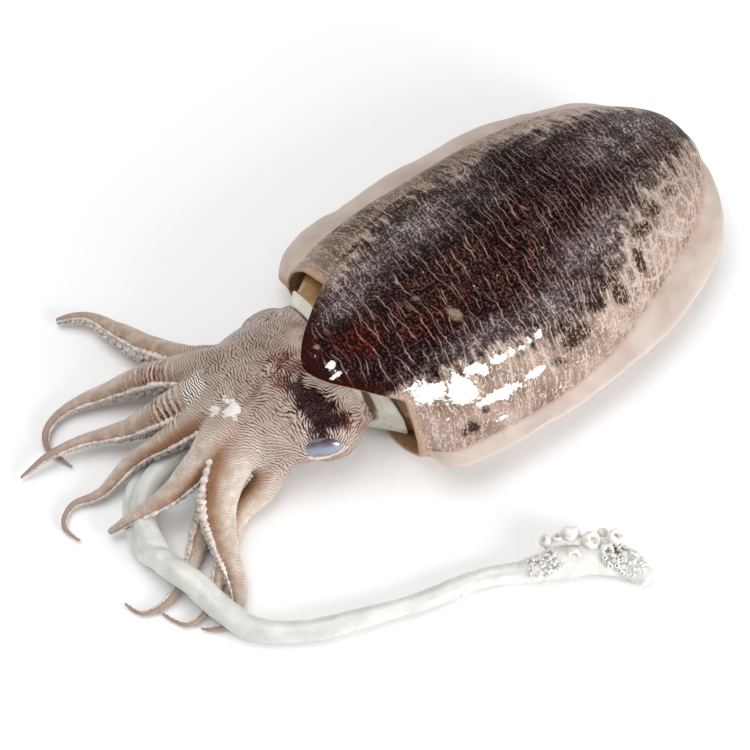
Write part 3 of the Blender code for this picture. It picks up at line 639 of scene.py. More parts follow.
def makeHeadAndArms():
    s = headSize
    bm = bmesh.new()
    x, y, z = s["middle"]
    upright = Matrix.Rotation(math.pi / 2, 4, "Y")
    bmesh.ops.create_uvsphere(bm, u_segments=64, v_segments=48, radius=1.0, matrix=upright)
    for vert in bm.verts:                     # an egg that is blunter than a ball at both ends
        along = vert.co.x
        girth = max(1e-6, math.sqrt(max(0.0, 1.0 - along * along)))
        blunt = girth ** 0.75 / girth
        vert.co = Vector((x + s["halfLength"] * along, y + s["halfWidth"] * vert.co.y * blunt,
                          z + s["halfHeight"] * vert.co.z * blunt)) * mm
    for middle in s["bulges"]:
        bulge = bmesh.ops.create_uvsphere(bm, u_segments=48, v_segments=32, radius=s["bulgeRadius"] * mm)["verts"]
        bmesh.ops.translate(bm, vec=Vector(middle) * mm, verts=bulge)
    growLimb(bm, s["neck"], 64, 4.0, lambda turn, length: 1.0 - (1.0 - s["neckFlatten"]) * math.sin(turn) ** 2)
    for arm in armRoutes.values():
        growLimb(bm, arm["knots"], 20, 2.5, lambda turn, length: armSection(turn, arm["suckers"]))
    bm = voxelSkin(bm, s["voxel"])

    # smooth the roots of the arms, where the melted shapes meet in sharp valleys
    for again in range(s["blend"]):
        relax(bm, [vert for vert in bm.verts if vert.co.x > (s["blendFrom"] + s["blendStep"] * again) * mm])
    relax(bm, bm.verts)
    bm.normal_update()

    # nearest point of any arm's route, for each vertex
    frames = [(*frameAt, number, arm["suckers"]) for number, arm in enumerate(armRoutes.values())
              for frameAt in routeFrames(arm["knots"], 1.5)]
    middles = np.array([tuple(frameAt[0]) for frameAt in frames])
    radii = np.array([frameAt[4] for frameAt in frames])
    places = np.array([tuple(vert.co) for vert in bm.verts]) / mm
    nearest = np.empty(len(places), int)
    for start in range(0, len(places), 4000):
        gap = np.linalg.norm(places[start:start + 4000, None, :] - middles[None], axis=2)
        nearest[start:start + 4000] = np.argmin(gap / (radii[None] + 2.0), axis=1)

    values = {name: [] for name in ("around", "along", "arm", "under", "flow", *headPatches)}
    moves = []
    for index, vert in enumerate(bm.verts):
        spot = vert.co / mm
        middle, along, side, up, radius, length, number, oral = frames[nearest[index]]
        off = spot - middle
        turn = math.degrees(math.atan2(off.dot(up), off.dot(side))) - oral
        away = abs((turn + 180.0) % 360.0 - 180.0) / 180.0      # 0 at the suckers, 1 at the back of the arm
        onArm = smoothStep(14.0, 34.0, length) * smoothStep(1.9, 1.3, off.length / (radius + 1.0))
        values["around"].append(away)
        values["along"].append(length / 100)
        values["arm"].append(onArm)
        # painted shade: orange-brown on the arms' lower sides near their roots, next to the suckers
        under = smoothStep(12.0, 24.0, length) * smoothStep(0.62, 0.36, away) * smoothStep(75.0, 40.0, length)
        values["under"].append(under * (1.0 if number > 2 else 0.25))
        for name, spots in headPatches.items():
            values[name].append(spotValue(spots, spot))
        # the way that the fine lines lie across: along the arms, and outwards from the nape and the eyes
        flow = along * smoothStep(8.0, 26.0, length) + (spot - Vector((-42.0, 27.0, 30.0))).normalized() * 0.8
        for eye in s["eyes"]:
            outward = spot - Vector(eye)
            flow += outward.normalized() * 1.6 * math.exp(-(outward.length / 17.0) ** 2)
        flow += noise.noise_vector(spot / 9.0) * 1.1
        values["flow"].append(tuple(flow.normalized()))
        move = sum(depth * noise.noise(spot / size) for size, depth in s["dents"])
        if spot.x > -100.0:
            for start, end, halfWidth, depth in s["valleys"]:
                start, end = Vector(start), Vector(end)
                t = min(1.0, max(0.0, (spot - start).dot(end - start) / (end - start).length_squared))
                wander = Vector((noise.noise(spot / 7.0), noise.noise(spot / 7.0 + Vector((9, 0, 0))), 0.0)) * 1.5
                gap = (spot + wander - (start + (end - start) * t)).length
                fade = smoothStep(0.0, 0.2, t) * smoothStep(1.0, 0.8, t)
                move -= depth * math.exp(-(gap / halfWidth) ** 2) * (0.3 + 0.7 * fade)
        move *= 1.0 - 0.75 * onArm * smoothStep(6.0, 2.0, radius)
        moves.append(vert.normal * move * mm)
    for vert, move in zip(bm.verts, moves):
        vert.co += move
    return finishPiece("headAndArms", bm, headSkin(), values)


def headSkin():
    # thin wet skin over muscle: wavy fine brown lines like fingerprints on the head, cross bars on the arms,
    # pale smooth flesh along the arms' edges
    material, node = newMaterial("wetHeadSkin", (0.12, 0.12), (0.1, 0.004, (1.0, 0.5, 0.3)),
                                 {"Specular IOR Level": 0.2})
    place = node("TexCoord", {}, output="Object")
    zone = {name: node("Attribute", {"attribute_name": name}, output="Fac")
            for name in ("around", "along", "arm", "under", *headPatches)}
    flow = node("Attribute", {"attribute_name": "flow"}, output="Vector")

    # one unit of Object coordinates is 1000 mm
    cloud = node("TexNoise", {}, place, 1000 / 16, 4.0, 0.6)
    mottle = node("TexNoise", {}, place, 1000 / 4, 3.0, 0.6)
    speck = node("TexNoise", {}, place, 1000 / 0.9, 2.0, 0.6)
    cloudShare = node("ValToRGB", soft, cloud)
    mottleShare = node("ValToRGB", soft, mottle)
    ragged = node("Math", multiplyAdd, mottle, 1.2, -0.6)

    # wavy lines like fingerprints, 1.2 mm apart, that break and join
    lines = node("TexGabor", {"gabor_type": "3D"}, place, 1000 / 2.8, 2.35, 0.85, flow, output="Phase")
    waves = node("ValToRGB", {"stops": ((0.2, 0.0), (0.4, 1.0), (0.6, 1.0), (0.8, 0.0))}, lines)
    patchy = node("ValToRGB", {"stops": ((0.3, 0.3), (0.62, 1.0))}, mottle)
    lineShare = node("Math", multiply, waves, patchy)

    # head: greyish beige between brown lines, fine dark specks, torn patches of white slime with one painted glint
    # among them, and small white points that are painted glints
    brown, blue, rosy = (node("Math", clamped, zone[name], mottleShare) for name in ("brown", "blue", "rosy"))
    ridge = node("Mix", blend, brown, node("Mix", blend, cloudShare, "#b29d90", "#c5b3a8"), "#9d8375")
    line = node("Mix", blend, brown, node("Mix", blend, cloudShare, "#3c2018", "#573a2e"), "#40231b")
    colour = node("Mix", blend, lineShare, ridge, line)
    specks = node("ValToRGB", {"stops": ((0.3, 0.55), (0.42, 0.0))}, speck)
    pale = node("ValToRGB", {"stops": ((0.25, 0.0), (0.75, 1.0))}, node("Math", add, zone["pale"], ragged))
    # white slime, and the painted glint above the near eye
    white = node("Math", multiplyAdd, speck, 0.6, node("Math", multiplyAdd, ragged, 1.4, zone["white"]))
    white = node("ValToRGB", {"stops": ((0.78, 0.0), (0.95, 0.9))}, white)
    # painted highlights: tiny white glints of the wet skin
    points = node("Math", multiply, node("ValToRGB", {"stops": ((0.64, 0.0), (0.7, 0.7))}, speck), mottleShare)
    for share, over in ((specks, "#5a443c"), (pale, "#c8b5a9"), (blue, "#7e7d84"), (white, "#f1ebe7"),
                        (points, "#ece3dc"), (rosy, "#7c4a44")):
        colour = node("Mix", blend, share, colour, over)
    # dark cloud and its thin red end
    raggedWaves = node("Math", multiplyAdd, waves, 0.4, ragged)
    for name, low, high, dark, middle, light in (("flush", 0.5, 0.95, "#3a100e", "#62251f", "#94655a"),
                                                 ("purple", 0.55, 0.9, "#060102", "#190607", "#5c2f2a")):
        share = node("ValToRGB", {"stops": ((low, 0.0), (high, 1.0))}, node("Math", add, zone[name], raggedWaves))
        tone = node("ValToRGB", {"stops": ((0.32, dark), (0.52, middle), (0.68, light))}, speck)
        colour = node("Mix", blend, share, colour, tone)

    # arms: grey sucker side, orange-brown painted shade next to it near the roots, tan with cross bars 2.7 mm apart,
    # pale back
    barPhase = node("Math", multiplyAdd, mottle, 4.0, zone["around"])
    barPhase = node("Math", multiplyAdd, zone["along"], 100 / 2.7 * 2 * math.pi, barPhase)
    bars = node("ValToRGB", {"stops": ((0.2, 0.0), (0.7, 1.0))}, node("Math", {"operation": "SINE"}, barPhase))
    aroundRagged = node("Math", multiplyAdd, ragged, 0.12, zone["around"])
    armColour = node("ValToRGB", {"stops": (
        (0.0, "#ebe6df"), (0.15, "#ebe4db"), (0.19, "#76594a"), (0.26, "#a58973"), (0.42, "#b9a08d"),
        (0.55, "#c3b0a0"), (0.72, "#d0c1b4"), (0.88, "#ded3c8"))}, aroundRagged)
    tint = node("ValToRGB", {"stops": ((0.35, "#9d8471"), (0.5, "#bfab9a"), (0.62, "#dfd3c8"))}, mottle)
    armColour = node("Mix", blend, 0.38, armColour, tint)
    ladder = node("Mix", blend, bars, "#5f362a", "#e4d4c8")
    barShare = node("Math", clamped, mottleShare, zone["bars"])
    tipShare = node("ValToRGB", {"stops": ((0.75, 0.0), (1.0, 1.0))}, zone["along"])
    # the orange-brown below is painted shade
    for share, over in ((barShare, ladder), (node("Math", multiply, zone["under"], 0.75), "#96602f"),
                        (node("Math", multiply, lineShare, 0.16), "#6e5040"), (tipShare, "#a78f84")):
        armColour = node("Mix", blend, share, armColour, over)
    colour = node("Mix", blend, zone["arm"], colour, armColour)
    # folded skin between the arms' roots, striped white and dark
    stripes = node("Mix", blend, waves, "#e9ddd4", "#32190f")
    striped = node("Math", multiplyAdd, ragged, 0.8, zone["zebra"])
    striped = node("ValToRGB", {"stops": ((0.3, 0.0), (0.65, 1.0))}, striped)
    colour = node("Mix", blend, striped, colour, stripes)

    rough = node("ValToRGB", {"stops": ((0.3, 0.28), (0.7, 0.5))}, mottle)
    ridges = node("ValToRGB", {"stops": ((0.1, 1.0), (0.34, 0.0))}, zone["around"])
    ridges = node("Math", multiply, node("Math", multiply, ridges, zone["arm"]), bars)
    height = node("Math", multiplyAdd, waves, -0.5, 0.5)
    for source, share in ((mottle, 0.9), (speck, 0.25), (ridges, 1.2)):
        height = node("Math", multiplyAdd, source, share, height)
    return finishMaterial(material, node, colour, rough, height, 0.5, 0.8)


print("head and arms")
head = makeHeadAndArms()


# collar: a pale funnel of flesh from the neck out to the mantle, with a thin free rim; behind the rim an
# ochre web closes the gap to the mantle's wall
collarSize = {
    "middleY": 24.0, "middleZ": 22.0, "halfWidth": 26.0, "halfHeight": 20.5, "squareness": 0.6, "farShare": 0.72,
    # (x, how far it stands out from the neck) from its root to the free rim
    "cone": ((-44, -4.0), (-41, -1.0), (-39.4, 1.0), (-38, 2.6), (-36, 6.0), (-34, 9.2), (-31.8, 12.4), (-30, 14.8),
             (-28.9, 16.2), (-28.4, 16.6)),
    # the same from the rim back to the wall
    "web": ((-28.1, 16.2), (-28.3, 15.3), (-27.8, 14.8), (-26.5, 15.2), (-24.5, 17.0), (-22, 20.0), (-18.5, 23.5),
            (-13, 26.0)),
    "lean": 0.23, "pleats": 7, "points": 144,
}


def makeCollar():
    s = collarSize
    rings = []
    for x, grow in s["cone"] + s["web"]:
        ring = []
        for step in range(s["points"]):
            turn = 2 * math.pi * step / s["points"]
            across, rise = math.cos(turn), math.sin(turn)      # across 1 is the near side
            flare = grow * (1.0 + 0.03 * math.sin(s["pleats"] * turn + 0.6) + 0.015 * math.sin(13 * turn))
            flare *= 1.0 if across > 0.0 or grow < 0.0 else s["farShare"]
            y = s["middleY"] - (s["halfWidth"] + flare) * math.copysign(abs(across) ** s["squareness"], across)
            z = s["middleZ"] + (s["halfHeight"] + 0.08 * flare) * math.copysign(abs(rise) ** s["squareness"], rise)
            lean = s["lean"] * (20.0 - z) * min(1.0, max(0.0, grow) / 12.0)
            ring.append((x + lean, y, max(0.3, z)))
        rings.append(ring)
    bm = bmesh.new()
    growRings(bm, rings, False)
    row = bm.verts.layers.int["row"]
    coneRows = len(s["cone"])
    values = {"inner": [], "crease": []}
    bm.normal_update()
    for vert in bm.verts:
        values["inner"].append(smoothStep(coneRows - 0.6, coneRows + 2.4, vert[row]))
        # painted shade: olive-brown along the fold near the collar's root, on its upper part
        values["crease"].append(math.exp(-((vert[row] - 3.2) / 1.1) ** 2) * smoothStep(8.0, 24.0, vert.co.z / mm))
        vert.co += vert.normal * (0.35 * noise.noise(vert.co / mm / 6.0)) * mm
    bmesh.ops.recalc_face_normals(bm, faces=bm.faces)
    smoother = finishPiece("collar", bm, collarSkin(), values).modifiers.new("smooth", "SUBSURF")
    smoother.levels = smoother.render_levels = 1


def collarSkin():
    # bare cream flesh without colour cells, translucent at its thin rim, ochre on the web behind the rim, and
    # olive-brown painted shade along the fold at its root
    material, node = newMaterial("paleCollarFlesh", (0.35, 0.1), (0.2, 0.005, (1.0, 0.8, 0.5)))
    place = node("TexCoord", {}, output="Object")
    inner, crease = (node("Attribute", {"attribute_name": name}, output="Fac") for name in ("inner", "crease"))
    cloud = node("TexNoise", {}, place, 1000 / 9, 3.0, 0.6)
    fine = node("TexNoise", {}, place, 1000 / 2.2, 3.0)
    share = node("ValToRGB", soft, cloud)
    # painted shade in that fold
    fold = node("ValToRGB", {"stops": ((0.7, 0.0), (1.0, 1.0))}, node("Math", multiplyAdd, cloud, 0.6, crease))
    outside = node("Mix", blend, fold, node("Mix", blend, share, "#cdc8b7", "#e0dccf"), "#5f5034")
    colour = node("Mix", blend, inner, outside, node("Mix", blend, share, "#8a6338", "#a8824f"))
    rough = node("ValToRGB", {"stops": ((0.35, 0.25), (0.65, 0.42))}, fine)
    return finishMaterial(material, node, colour, rough, fine)


# eyes: a glossy cornea under a fold of lid; middle is on the head's skin, long is the way the slit runs
eyeSize = {
    "halfLength": 9.4, "halfHeight": 5.0, "depth": 3.6,
    # folds of the lid: start and end angle, lift, how far out, radius
    "lids": ((187.0, 353.0, 0.6, 1.02, 0.9), (200.0, 345.0, 0.1, 1.22, 1.125)),
    "eyes": {"near": {"middle": (-65.0, -8.2, 26.0), "long": (0.88, -0.45, 0.0), "sink": 0.9},
             "far": {"middle": (-56.0, 63.0, 16.0), "long": (0.88, 0.45, 0.0), "sink": 2.2}},
}


def eyeFrame(head, eye):
    # the skin's middle and outward direction at the eye, with the slit's own axes
    middle = Vector(eye["middle"]) * mm
    around = [vert for vert in head.data.vertices if (vert.co - middle).length < 7.0 * mm]
    outward = sum((vert.normal for vert in around), Vector()).normalized()
    nearest = min(around, key=lambda vert: (vert.co - middle).length).co
    long = Vector(eye["long"])
    long = (long - outward * long.dot(outward)).normalized()
    high = outward.cross(long)
    if high.z < 0.0:
        high = -high
    return nearest.copy(), long, high, outward


def makeEyes(head):
    s = eyeSize
    balls, lids = bmesh.new(), bmesh.new()
    frames = [eyeFrame(head, eye) for eye in s["eyes"].values()]
    for eye, (middle, long, high, outward) in zip(s["eyes"].values(), frames):
        turned = Matrix((long, high, outward)).transposed().to_4x4()
        ball = bmesh.ops.create_uvsphere(balls, u_segments=48, v_segments=32, radius=mm)["verts"]
        bmesh.ops.scale(balls, vec=(s["halfLength"], s["halfHeight"], s["depth"]), verts=ball)
        sunk = Matrix.Translation(middle - outward * eye["sink"] * mm)
        bmesh.ops.transform(balls, matrix=sunk @ turned, verts=ball)
        for start, end, lift, out, radius in s["lids"]:
            knots = []
            for step in range(13):
                turn = math.radians(start + (end - start) * step / 12)
                drop = 0.5 + 3.6 * (out - 1.0) * abs(math.sin(turn))
                spot = middle + (long * s["halfLength"] * math.cos(turn) * out
                                 + high * s["halfHeight"] * math.sin(turn) * out + outward * (lift - drop)) * mm
                knots.append((*(spot / mm), radius * (0.35 + 0.65 * math.sin(math.pi * step / 12))))
            growLimb(lids, knots, 12, 1.0)
    for bm in (balls, lids):
        bmesh.ops.recalc_face_normals(bm, faces=bm.faces)
    heights = []
    for vert in balls.verts:
        middle, long, high, outward = min(frames, key=lambda item: (item[0] - vert.co).length)
        heights.append((vert.co - middle).dot(high) / mm / s["halfHeight"])
    finishPiece("eyes", balls, corneaSkin(), {"height": heights})
    finishPiece("eyeLids", lids, lidSkin())


def corneaSkin():
    # clouded cornea: blue-grey and mirror-smooth, violet-brown under the upper skin, and darkened along the lower
    # lid, where the dark band is painted shade in the gap under the lid
    material, node = newMaterial("cloudedCornea", (1.0, 0.04), values={"Roughness": 0.2})
    height = node("Attribute", {"attribute_name": "height"}, output="Fac")
    cloud = node("TexNoise", {}, node("TexCoord", {}, output="Object"), 1000 / 5, 3.0)
    share = node("Math", multiplyAdd, node("Math", multiplyAdd, cloud, 0.4, height), 0.5, 0.4)
    # the darkest stops at the bottom are painted shade where the lower lid meets the cornea
    colour = node("ValToRGB", {"stops": ((0.0, "#1c1620"), (0.12, "#2b2630"), (0.24, "#6b6e7c"), (0.42, "#8b92a2"),
                  (0.6, "#868c9c"), (0.76, "#675c63"), (0.95, "#2e1d20"))}, share)
    return finishMaterial(material, node, colour)


def lidSkin():
    # thin pinkish rim of the lid, moist and slightly translucent
    material, node = newMaterial("moistLidSkin", (0.5, 0.1), (0.15, 0.003, (1.0, 0.2, 0.1)))
    fine = node("TexNoise", {}, node("TexCoord", {}, output="Object"), 1000 / 2.5, 3.0)
    colour = node("ValToRGB", {"stops": ((0.3, "#b59c90"), (0.5, "#dccdc3"), (0.7, "#ede4dc"))}, fine)
    rough = node("ValToRGB", {"stops": ((0.3, 0.25), (0.7, 0.4))}, fine)
    return finishMaterial(material, node, colour, rough, fine, 0.3, 0.4)


# feeding tentacle, drawn out to one side, and its club
tentacleSize = {
    "knots": ((-79, 29, 15, 7), (-103, 32, 11, 5.5), (-123, 32, 7.5, 5.6), (-137, 23, 6.2, 5.9),
              (-143, 8, 6.2, 5.8), (-144, -6, 9, 5.8), (-140, -22, 11, 5.8), (-137, -37, 9, 5.4),
              (-130, -52, 5.2, 4.8), (-113, -65, 4.8, 4.6), (-93, -73, 4.6, 4.4), (-69, -81, 4.2, 4.0),
              (-44, -87, 4.2, 4.0), (-27, -95, 4.4, 4.4)),
    # thin outer flap of loose skin down to the fold
    "flap": ((-112, 38, 7, 2.4), (-128, 38, 4.5, 3.2), (-139, 29, 4.2, 3.6), (-146, 16, 4.4, 3.6),
             (-149, 7, 5.0, 3.2), (-148.5, 0, 6.0, 2.6), (-146, -5, 7.0, 2.0)),
    "creases": ((-147, 3, 7.0), (-143, -1, 5.0)),             # x, y and reach of the folds at the bend
    "club": ((-52, -85.4, 4.1, 3.7), (-44, -87.2, 4.15, 3.95), (-35, -90.8, 4.3, 4.2), (-27, -95, 4.5, 4.6),
             (-19, -99, 5.8, 6.0), (-7, -104, 6.5, 7.2), (4, -111, 6.3, 7.0), (11.5, -119.5, 5.9, 6.6),
             (14, -128, 4.2, 4.2)),
    "clubFlatten": 0.85,
    "voxel": 0.8,                             # size of the mesh's squares
}


def makeTentacle():
    s = tentacleSize
    bm = bmesh.new()
    growLimb(bm, s["knots"], 32, 1.6, lambda turn, length: 1.0 + 0.03 * math.sin(2 * turn + length / 16.0))
    growLimb(bm, s["flap"], 24, 1.6, lambda turn, length: 0.55 + 0.45 * abs(math.cos(turn)) ** 1.5)
    bm = voxelSkin(bm, s["voxel"])
    for again in range(2):
        relax(bm, bm.verts)
    bm.normal_update()
    for vert in bm.verts:
        spot = vert.co / mm
        move = 0.45 * noise.noise(spot / 14.0) + 0.2 * noise.noise(spot / 5.0)
        for x, y, reach in s["creases"]:
            gap = abs((spot.x - x) * 0.5 + (spot.y - y) * 0.87)
            near = smoothStep(16.0, 8.0, (spot.xy - Vector((x, y))).length)
            move -= 0.9 * math.exp(-(gap / 1.2) ** 2) * near * reach / 7.0
        vert.co += vert.normal * move * mm
    finishPiece("tentacle", bm, tentacleSkin("wetTentacleFlesh", "#cbcbc5", "#e3e2dc"))


def makeClub():
    # the club's back is smooth; the side with the suckers is ribbed and lies up and away
    s = tentacleSize
    bm = bmesh.new()

    def section(turn, length):
        squashed = 1.0 - (1.0 - s["clubFlatten"]) * math.sin(turn) ** 2
        fold = 0.10 * math.exp(-((math.degrees(turn) - 300.0) / 9.0) ** 2) * smoothStep(38.0, 50.0, length)
        ribbed = smoothStep(58.0, 66.0, length) * smoothStep(-0.2, 0.6, math.cos(turn - math.radians(60)))
        return squashed - fold + 0.05 * math.sin(length * 3.6) * ribbed

    growLimb(bm, s["club"], 48, 0.8, section)
    bmesh.ops.recalc_face_normals(bm, faces=bm.faces)
    bm.normal_update()
    for vert in bm.verts:
        vert.co += vert.normal * (0.4 * noise.noise(vert.co / mm / 6.0)) * mm
        vert.co.z = max(vert.co.z, 0.0002)
    # painted shade: brown in the hollows between the large suckers, on the club's upper side
    paintedGapShade = [max(math.exp(-((vert.co.x / mm - x) / reach) ** 2 - ((vert.co.y / mm - y) / reach) ** 2)
                for x, y, reach in suckerSize["paintedGapShade"]) * smoothStep(5.0, 9.0, vert.co.z / mm) for vert in bm.verts]
    finishPiece("club", bm, tentacleSkin("ribbedClubFlesh", "#cfcec7", "#e7e6e0"), {"gap": paintedGapShade})


def tentacleSkin(name, dark, light):
    # skinless muscle: bluish white, smooth, see-through at its edges and coated with clear slime
    material, node = newMaterial(name, (0.5, 0.08), (0.35, 0.006, (1.0, 0.9, 0.75)))
    place = node("TexCoord", {}, output="Object")
    cloud = node("TexNoise", {}, place, 1000 / 15, 3.0)
    fine = node("TexNoise", {}, place, 1000 / 3, 3.0)
    gap = node("Attribute", {"attribute_name": "gap"}, output="Fac")
    # painted shade in the hollows between the large suckers
    colour = node("Mix", blend, gap, node("Mix", blend, node("ValToRGB", soft, cloud), dark, light), "#8a5f3c")
    rough = node("ValToRGB", {"stops": ((0.35, 0.22), (0.65, 0.4))}, fine)
    height = node("Math", multiplyAdd, fine, 0.4, cloud)
    return finishMaterial(material, node, colour, rough, height, 0.3, 1.2)


# suckers: cups turned from one profile (share of the radius out, share of the radius up)
suckerSize = {
    "cup": ((0.30, -1.15), (0.42, -0.85), (0.78, -0.55), (0.98, -0.12), (1.0, 0.22), (0.88, 0.55), (0.68, 0.72),
            (0.50, 0.70), (0.40, 0.52), (0.34, 0.15), (0.0, 0.05)),
    # large ones on the club: place, radius and the way each one faces
    "large": (((-11, -92, 9.5), 2.8, (-0.45, 0.41, 0.64)), ((-1.5, -96.2, 11.8), 4.1, (0.48, 0.65, 0.40)),
              ((-6.4, -104.4, 11.0), 3.3, (-0.39, -0.53, 0.65)), ((3, -104, 12.0), 4.2, (0.30, -0.44, 0.83)),
              ((6, -111, 11.8), 3.0, (-0.30, -0.45, 0.72)), ((12.3, -108.6, 11.6), 3.8, (0.30, -0.10, 0.78)),
              ((10.3, -103.2, 10.5), 2.3, (0.45, 0.60, 0.50)), ((-6.4, -94, 10.0), 2.4, (0.1, 0.2, 0.9))),
    "cushion": ((-12, -93.5, 5.5, 3.2), (-4, -98, 7.5, 4.4), (4, -105, 8.2, 4.4), (11.5, -110, 7.0, 3.8)),
    # x, y and reach of the hollows between them, painted brown as painted shade
    "paintedGapShade": ((-5, -97, 3.5), (-2.5, -100.5, 2.5), (9.5, -113.5, 3.5)),
    "small": (0.7, 1.5), "smallCount": 170,   # radius of the granules at both ends of the bed
    "armRadius": 0.26,                        # share of the arm's radius
}


def facingUp(place, facing):
    # stands what is made round the Z axis at a place, turned the way it faces
    turn = Vector((0, 0, 1)).rotation_difference(Vector(facing).normalized()).to_matrix().to_4x4()
    return Matrix.Translation(Vector(place) * mm) @ turn


def growCup(bm, place, radius, facing, turns):
    # spins the cup's profile about its own axis, then stands it in place
    verts = [bm.verts.new((out * radius * mm, 0.0, up * radius * mm)) for out, up in suckerSize["cup"]]
    edges = [bm.edges.new(pair) for pair in zip(verts, verts[1:])]
    before = set(bm.verts) - set(verts)
    bmesh.ops.spin(bm, geom=verts + edges, cent=(0, 0, 0), axis=(0, 0, 1), angle=2 * math.pi, steps=turns,
                   use_merge=True)
    made = [vert for vert in bm.verts if vert not in before]
    bmesh.ops.remove_doubles(bm, verts=made, dist=radius * 0.01 * mm)
    made = [vert for vert in bm.verts if vert not in before]
    bmesh.ops.transform(bm, matrix=facingUp(place, facing), verts=made)


def growTinyCup(bm, place, radius, facing, sides):
    # a few faces only: a squat cone with a sunken top
    made = bmesh.ops.create_cone(bm, cap_ends=True, segments=sides, radius1=radius * 0.75 * mm, radius2=radius * mm,
                                 depth=radius * 1.1 * mm, matrix=facingUp(place, facing))["verts"]
    faces = list(dict.fromkeys(face for vert in made for face in vert.link_faces))
    bmesh.ops.recalc_face_normals(bm, faces=faces)
    tops = [face for face in faces if len(face.verts) == sides and face.normal.dot(facing) > 0.5]
    bmesh.ops.inset_region(bm, faces=tops, thickness=radius * 0.4 * mm)
    sunken = list(dict.fromkeys(vert for face in tops for vert in face.verts))
    bmesh.ops.translate(bm, vec=-facing * radius * 0.45 * mm, verts=sunken)


def makeClubSuckers():
    s = suckerSize
    rng = random.Random(7)
    bm = bmesh.new()
    for place, radius, facing in s["large"]:
        growCup(bm, place, radius, facing, 28)
        root = Vector(place) + Vector((-2.0, -4.0, -5.0))      # stalk down to the club
        head = Vector(place) - Vector(facing).normalized() * radius * 0.9
        growLimb(bm, ((*root, radius * 0.5), (*head, radius * 0.36)), 12, 1.5)
    growLimb(bm, s["cushion"], 24, 1.0)       # raised bed of flesh that carries the large suckers
    frames = routeFrames(tentacleSize["club"][3:], 1.0)
    for number in range(s["smallCount"]):
        low, high = (5, 17) if number % 2 else (len(frames) - 20, len(frames) - 3)
        middle, along, side, up, radius, length = frames[rng.randint(low, high)]
        turn = math.radians(rng.uniform(60, 175))
        facing = -side * math.cos(turn) + up * math.sin(turn)
        facing = (facing + Vector((0.1, 0.25, 0.2))).normalized()
        size = rng.uniform(*s["small"])
        spot = middle + facing * (radius + size * 0.15)
        if number % 6:
            granule = Matrix.Translation(spot * mm)
            bmesh.ops.create_icosphere(bm, subdivisions=2, radius=size * 0.7 * mm, matrix=granule)
        else:
            growCup(bm, spot, size * 0.9, facing, 12)
    bmesh.ops.recalc_face_normals(bm, faces=bm.faces)
    finishPiece("clubSuckers", bm, suckerSkin())


def makeArmSuckers():
    # two rows of cups along each arm's own side, getting smaller to the tip
    s = suckerSize
    rng = random.Random(3)
    bm = bmesh.new()
    for arm in armRoutes.values():
        nextAt, row = 26.0, 0
        for middle, along, side, up, radius, length in routeFrames(arm["knots"], 0.8):
            if length < nextAt or radius < 1.1:
                continue
            size = max(0.45, radius * s["armRadius"]) * rng.uniform(0.6, 1.25)
            nextAt = length + size * 1.15
            row += 1
            turn = math.radians(arm["suckers"] + (17.0 if row % 2 else -17.0) + rng.uniform(-10, 10))
            facing = (side * math.cos(turn) + up * math.sin(turn)).normalized()
            spot = middle + facing * (radius * 0.86 + size * 0.25)
            if spot.z > size:
                growTinyCup(bm, spot, size, facing, 10)
    finishPiece("armSuckers", bm, suckerSkin())


def makeArmWebs():
    # scalloped edges of skin on both sides of each arm's suckers
    bm = bmesh.new()
    for arm in armRoutes.values():
        for offset in (-33.0, 33.0):
            knots = []
            for middle, along, side, up, radius, length in routeFrames(arm["knots"], 0.7):
                if length < 24.0 or radius < 1.0:
                    continue
                uneven = noise.noise(middle / 5.0)
                scallop = 0.5 + 0.5 * math.sin(2 * math.pi * length / max(1.6, radius * 0.5) + 4.0 * uneven)
                turn = math.radians(arm["suckers"] + offset)
                facing = side * math.cos(turn) + up * math.sin(turn)
                size = radius * (0.12 + 0.13 * scallop) * (1.0 + 0.7 * uneven)
                spot = middle + facing * radius * (0.92 + 0.05 * scallop)
                knots.append((*spot, size))
            knots = [knot for knot in knots if knot[2] > knot[3]]
            if len(knots) > 4:
                for end in (0, -1):
                    knots[end] = (*knots[end][:3], knots[end][3] * 0.3)
                growLimb(bm, knots, 8, 5.0)
    bmesh.ops.recalc_face_normals(bm, faces=bm.faces)
    finishPiece("armWebs", bm, lidSkin())


def suckerSkin():
    # firm white cups; their hollows, and every other concave place, are darkened greyish brown as painted shade
    material, node = newMaterial("firmSuckerFlesh", (0.3, 0.12), (0.25, 0.003, (1.0, 0.9, 0.75)))
    fine = node("TexNoise", {}, node("TexCoord", {}, output="Object"), 1000 / 2, 3.0)
    # painted shade: concave places, found by their pointiness, turn greyish brown
    concaveShade = node("ValToRGB", {"stops": ((0.38, 1.0), (0.48, 0.0))}, node("NewGeometry", {}, output="Pointiness"))
    colour = node("ValToRGB", {"stops": ((0.3, "#d2cdc2"), (0.6, "#f0eee9"))}, fine)
    colour = node("Mix", blend, concaveShade, colour, "#a39380")
    rough = node("ValToRGB", {"stops": ((0.35, 0.25), (0.65, 0.45))}, fine)
    return finishMaterial(material, node, colour, rough, fine, 0.25, 0.5)


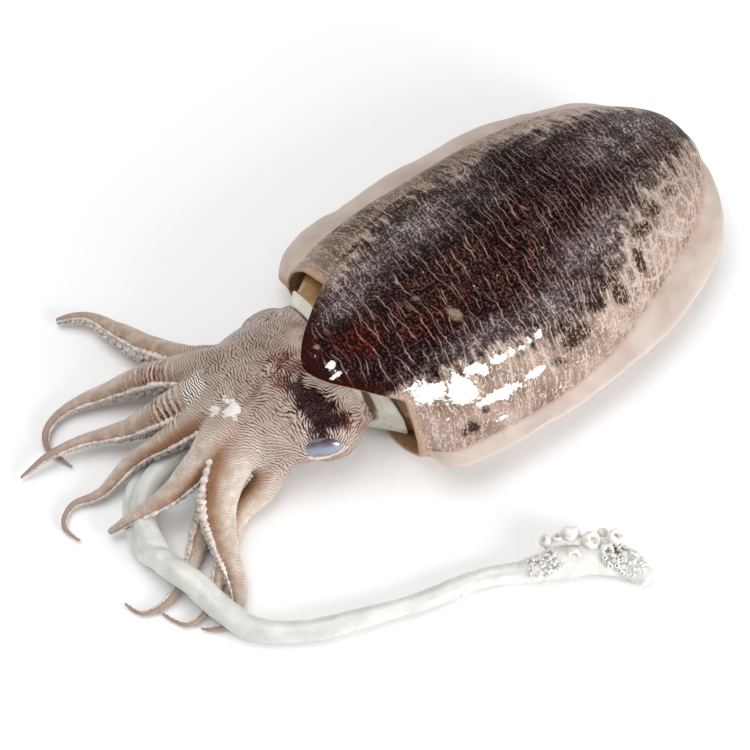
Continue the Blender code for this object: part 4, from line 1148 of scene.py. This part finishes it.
print("collar, eyes, tentacle and suckers")
makeCollar()
makeEyes(head)
makeTentacle()
makeClub()
makeClubSuckers()
makeArmSuckers()
makeArmWebs()


# pale floor, soft studio light and the camera; azimuth 0 is -Y and 90 is +X, lengths are in metres
stageSize = {
    "floor": 3.0, "floorDrop": 0.0003,
    "background": 0.46,
    # name: (azimuth, elevation, distance, width, height, power)
    "boxes": {"frontBox": (15.0, 18.0, 1.2, 0.5, 0.72, 12.5), "topBox": (-150.0, 72.0, 1.3, 1.2, 1.2, 10.0)},
    "camera": (-36.3, 57.0, 0.77), "target": (-0.0235, 0.011, 0.02), "lens": 85.0,
}


def lookFrom(name, data, azimuth, elevation, distance, target=(0.0, 0.0, 0.0)):
    # lamp or camera that looks at the target
    turn, lift = math.radians(azimuth), math.radians(elevation)
    back = Vector((math.sin(turn) * math.cos(lift), -math.cos(turn) * math.cos(lift), math.sin(lift)))
    made = addObject(name, data)
    made.location = Vector(target) + back * distance
    made.rotation_euler = (-back).to_track_quat("-Z", "Y").to_euler()
    return made


def makeStage():
    s = stageSize
    bm = bmesh.new()
    bmesh.ops.create_grid(bm, x_segments=2, y_segments=2, size=s["floor"] / 2)
    floor = addObject("floor", bm)
    floor.location.z = -s["floorDrop"]
    # matt white board, which shows soft shadows and no glints
    material, node = newMaterial("paleFloor", values={"IOR": 1.5, "Base Color": linear("#ffffff"), "Roughness": 0.9})
    floor.data.materials.append(material)

    world = bpy.data.worlds.new("studio")
    world.use_nodes = True
    background = world.node_tree.nodes["Background"].inputs
    background["Color"].default_value = linear("#f6f8fa")
    background["Strength"].default_value = s["background"]
    for name, (azimuth, elevation, distance, width, height, power) in s["boxes"].items():
        light = bpy.data.lights.new(name, "AREA")
        light.shape = "RECTANGLE"
        light.size, light.size_y = width, height
        light.energy = power
        lookFrom(name, light, azimuth, elevation, distance)
    lens = bpy.data.cameras.new("camera")
    lens.lens = s["lens"]
    scene = bpy.context.scene
    scene.world = world
    scene.camera = lookFrom("camera", lens, *s["camera"], s["target"])
    scene.view_settings.view_transform = "Standard"


makeStage()
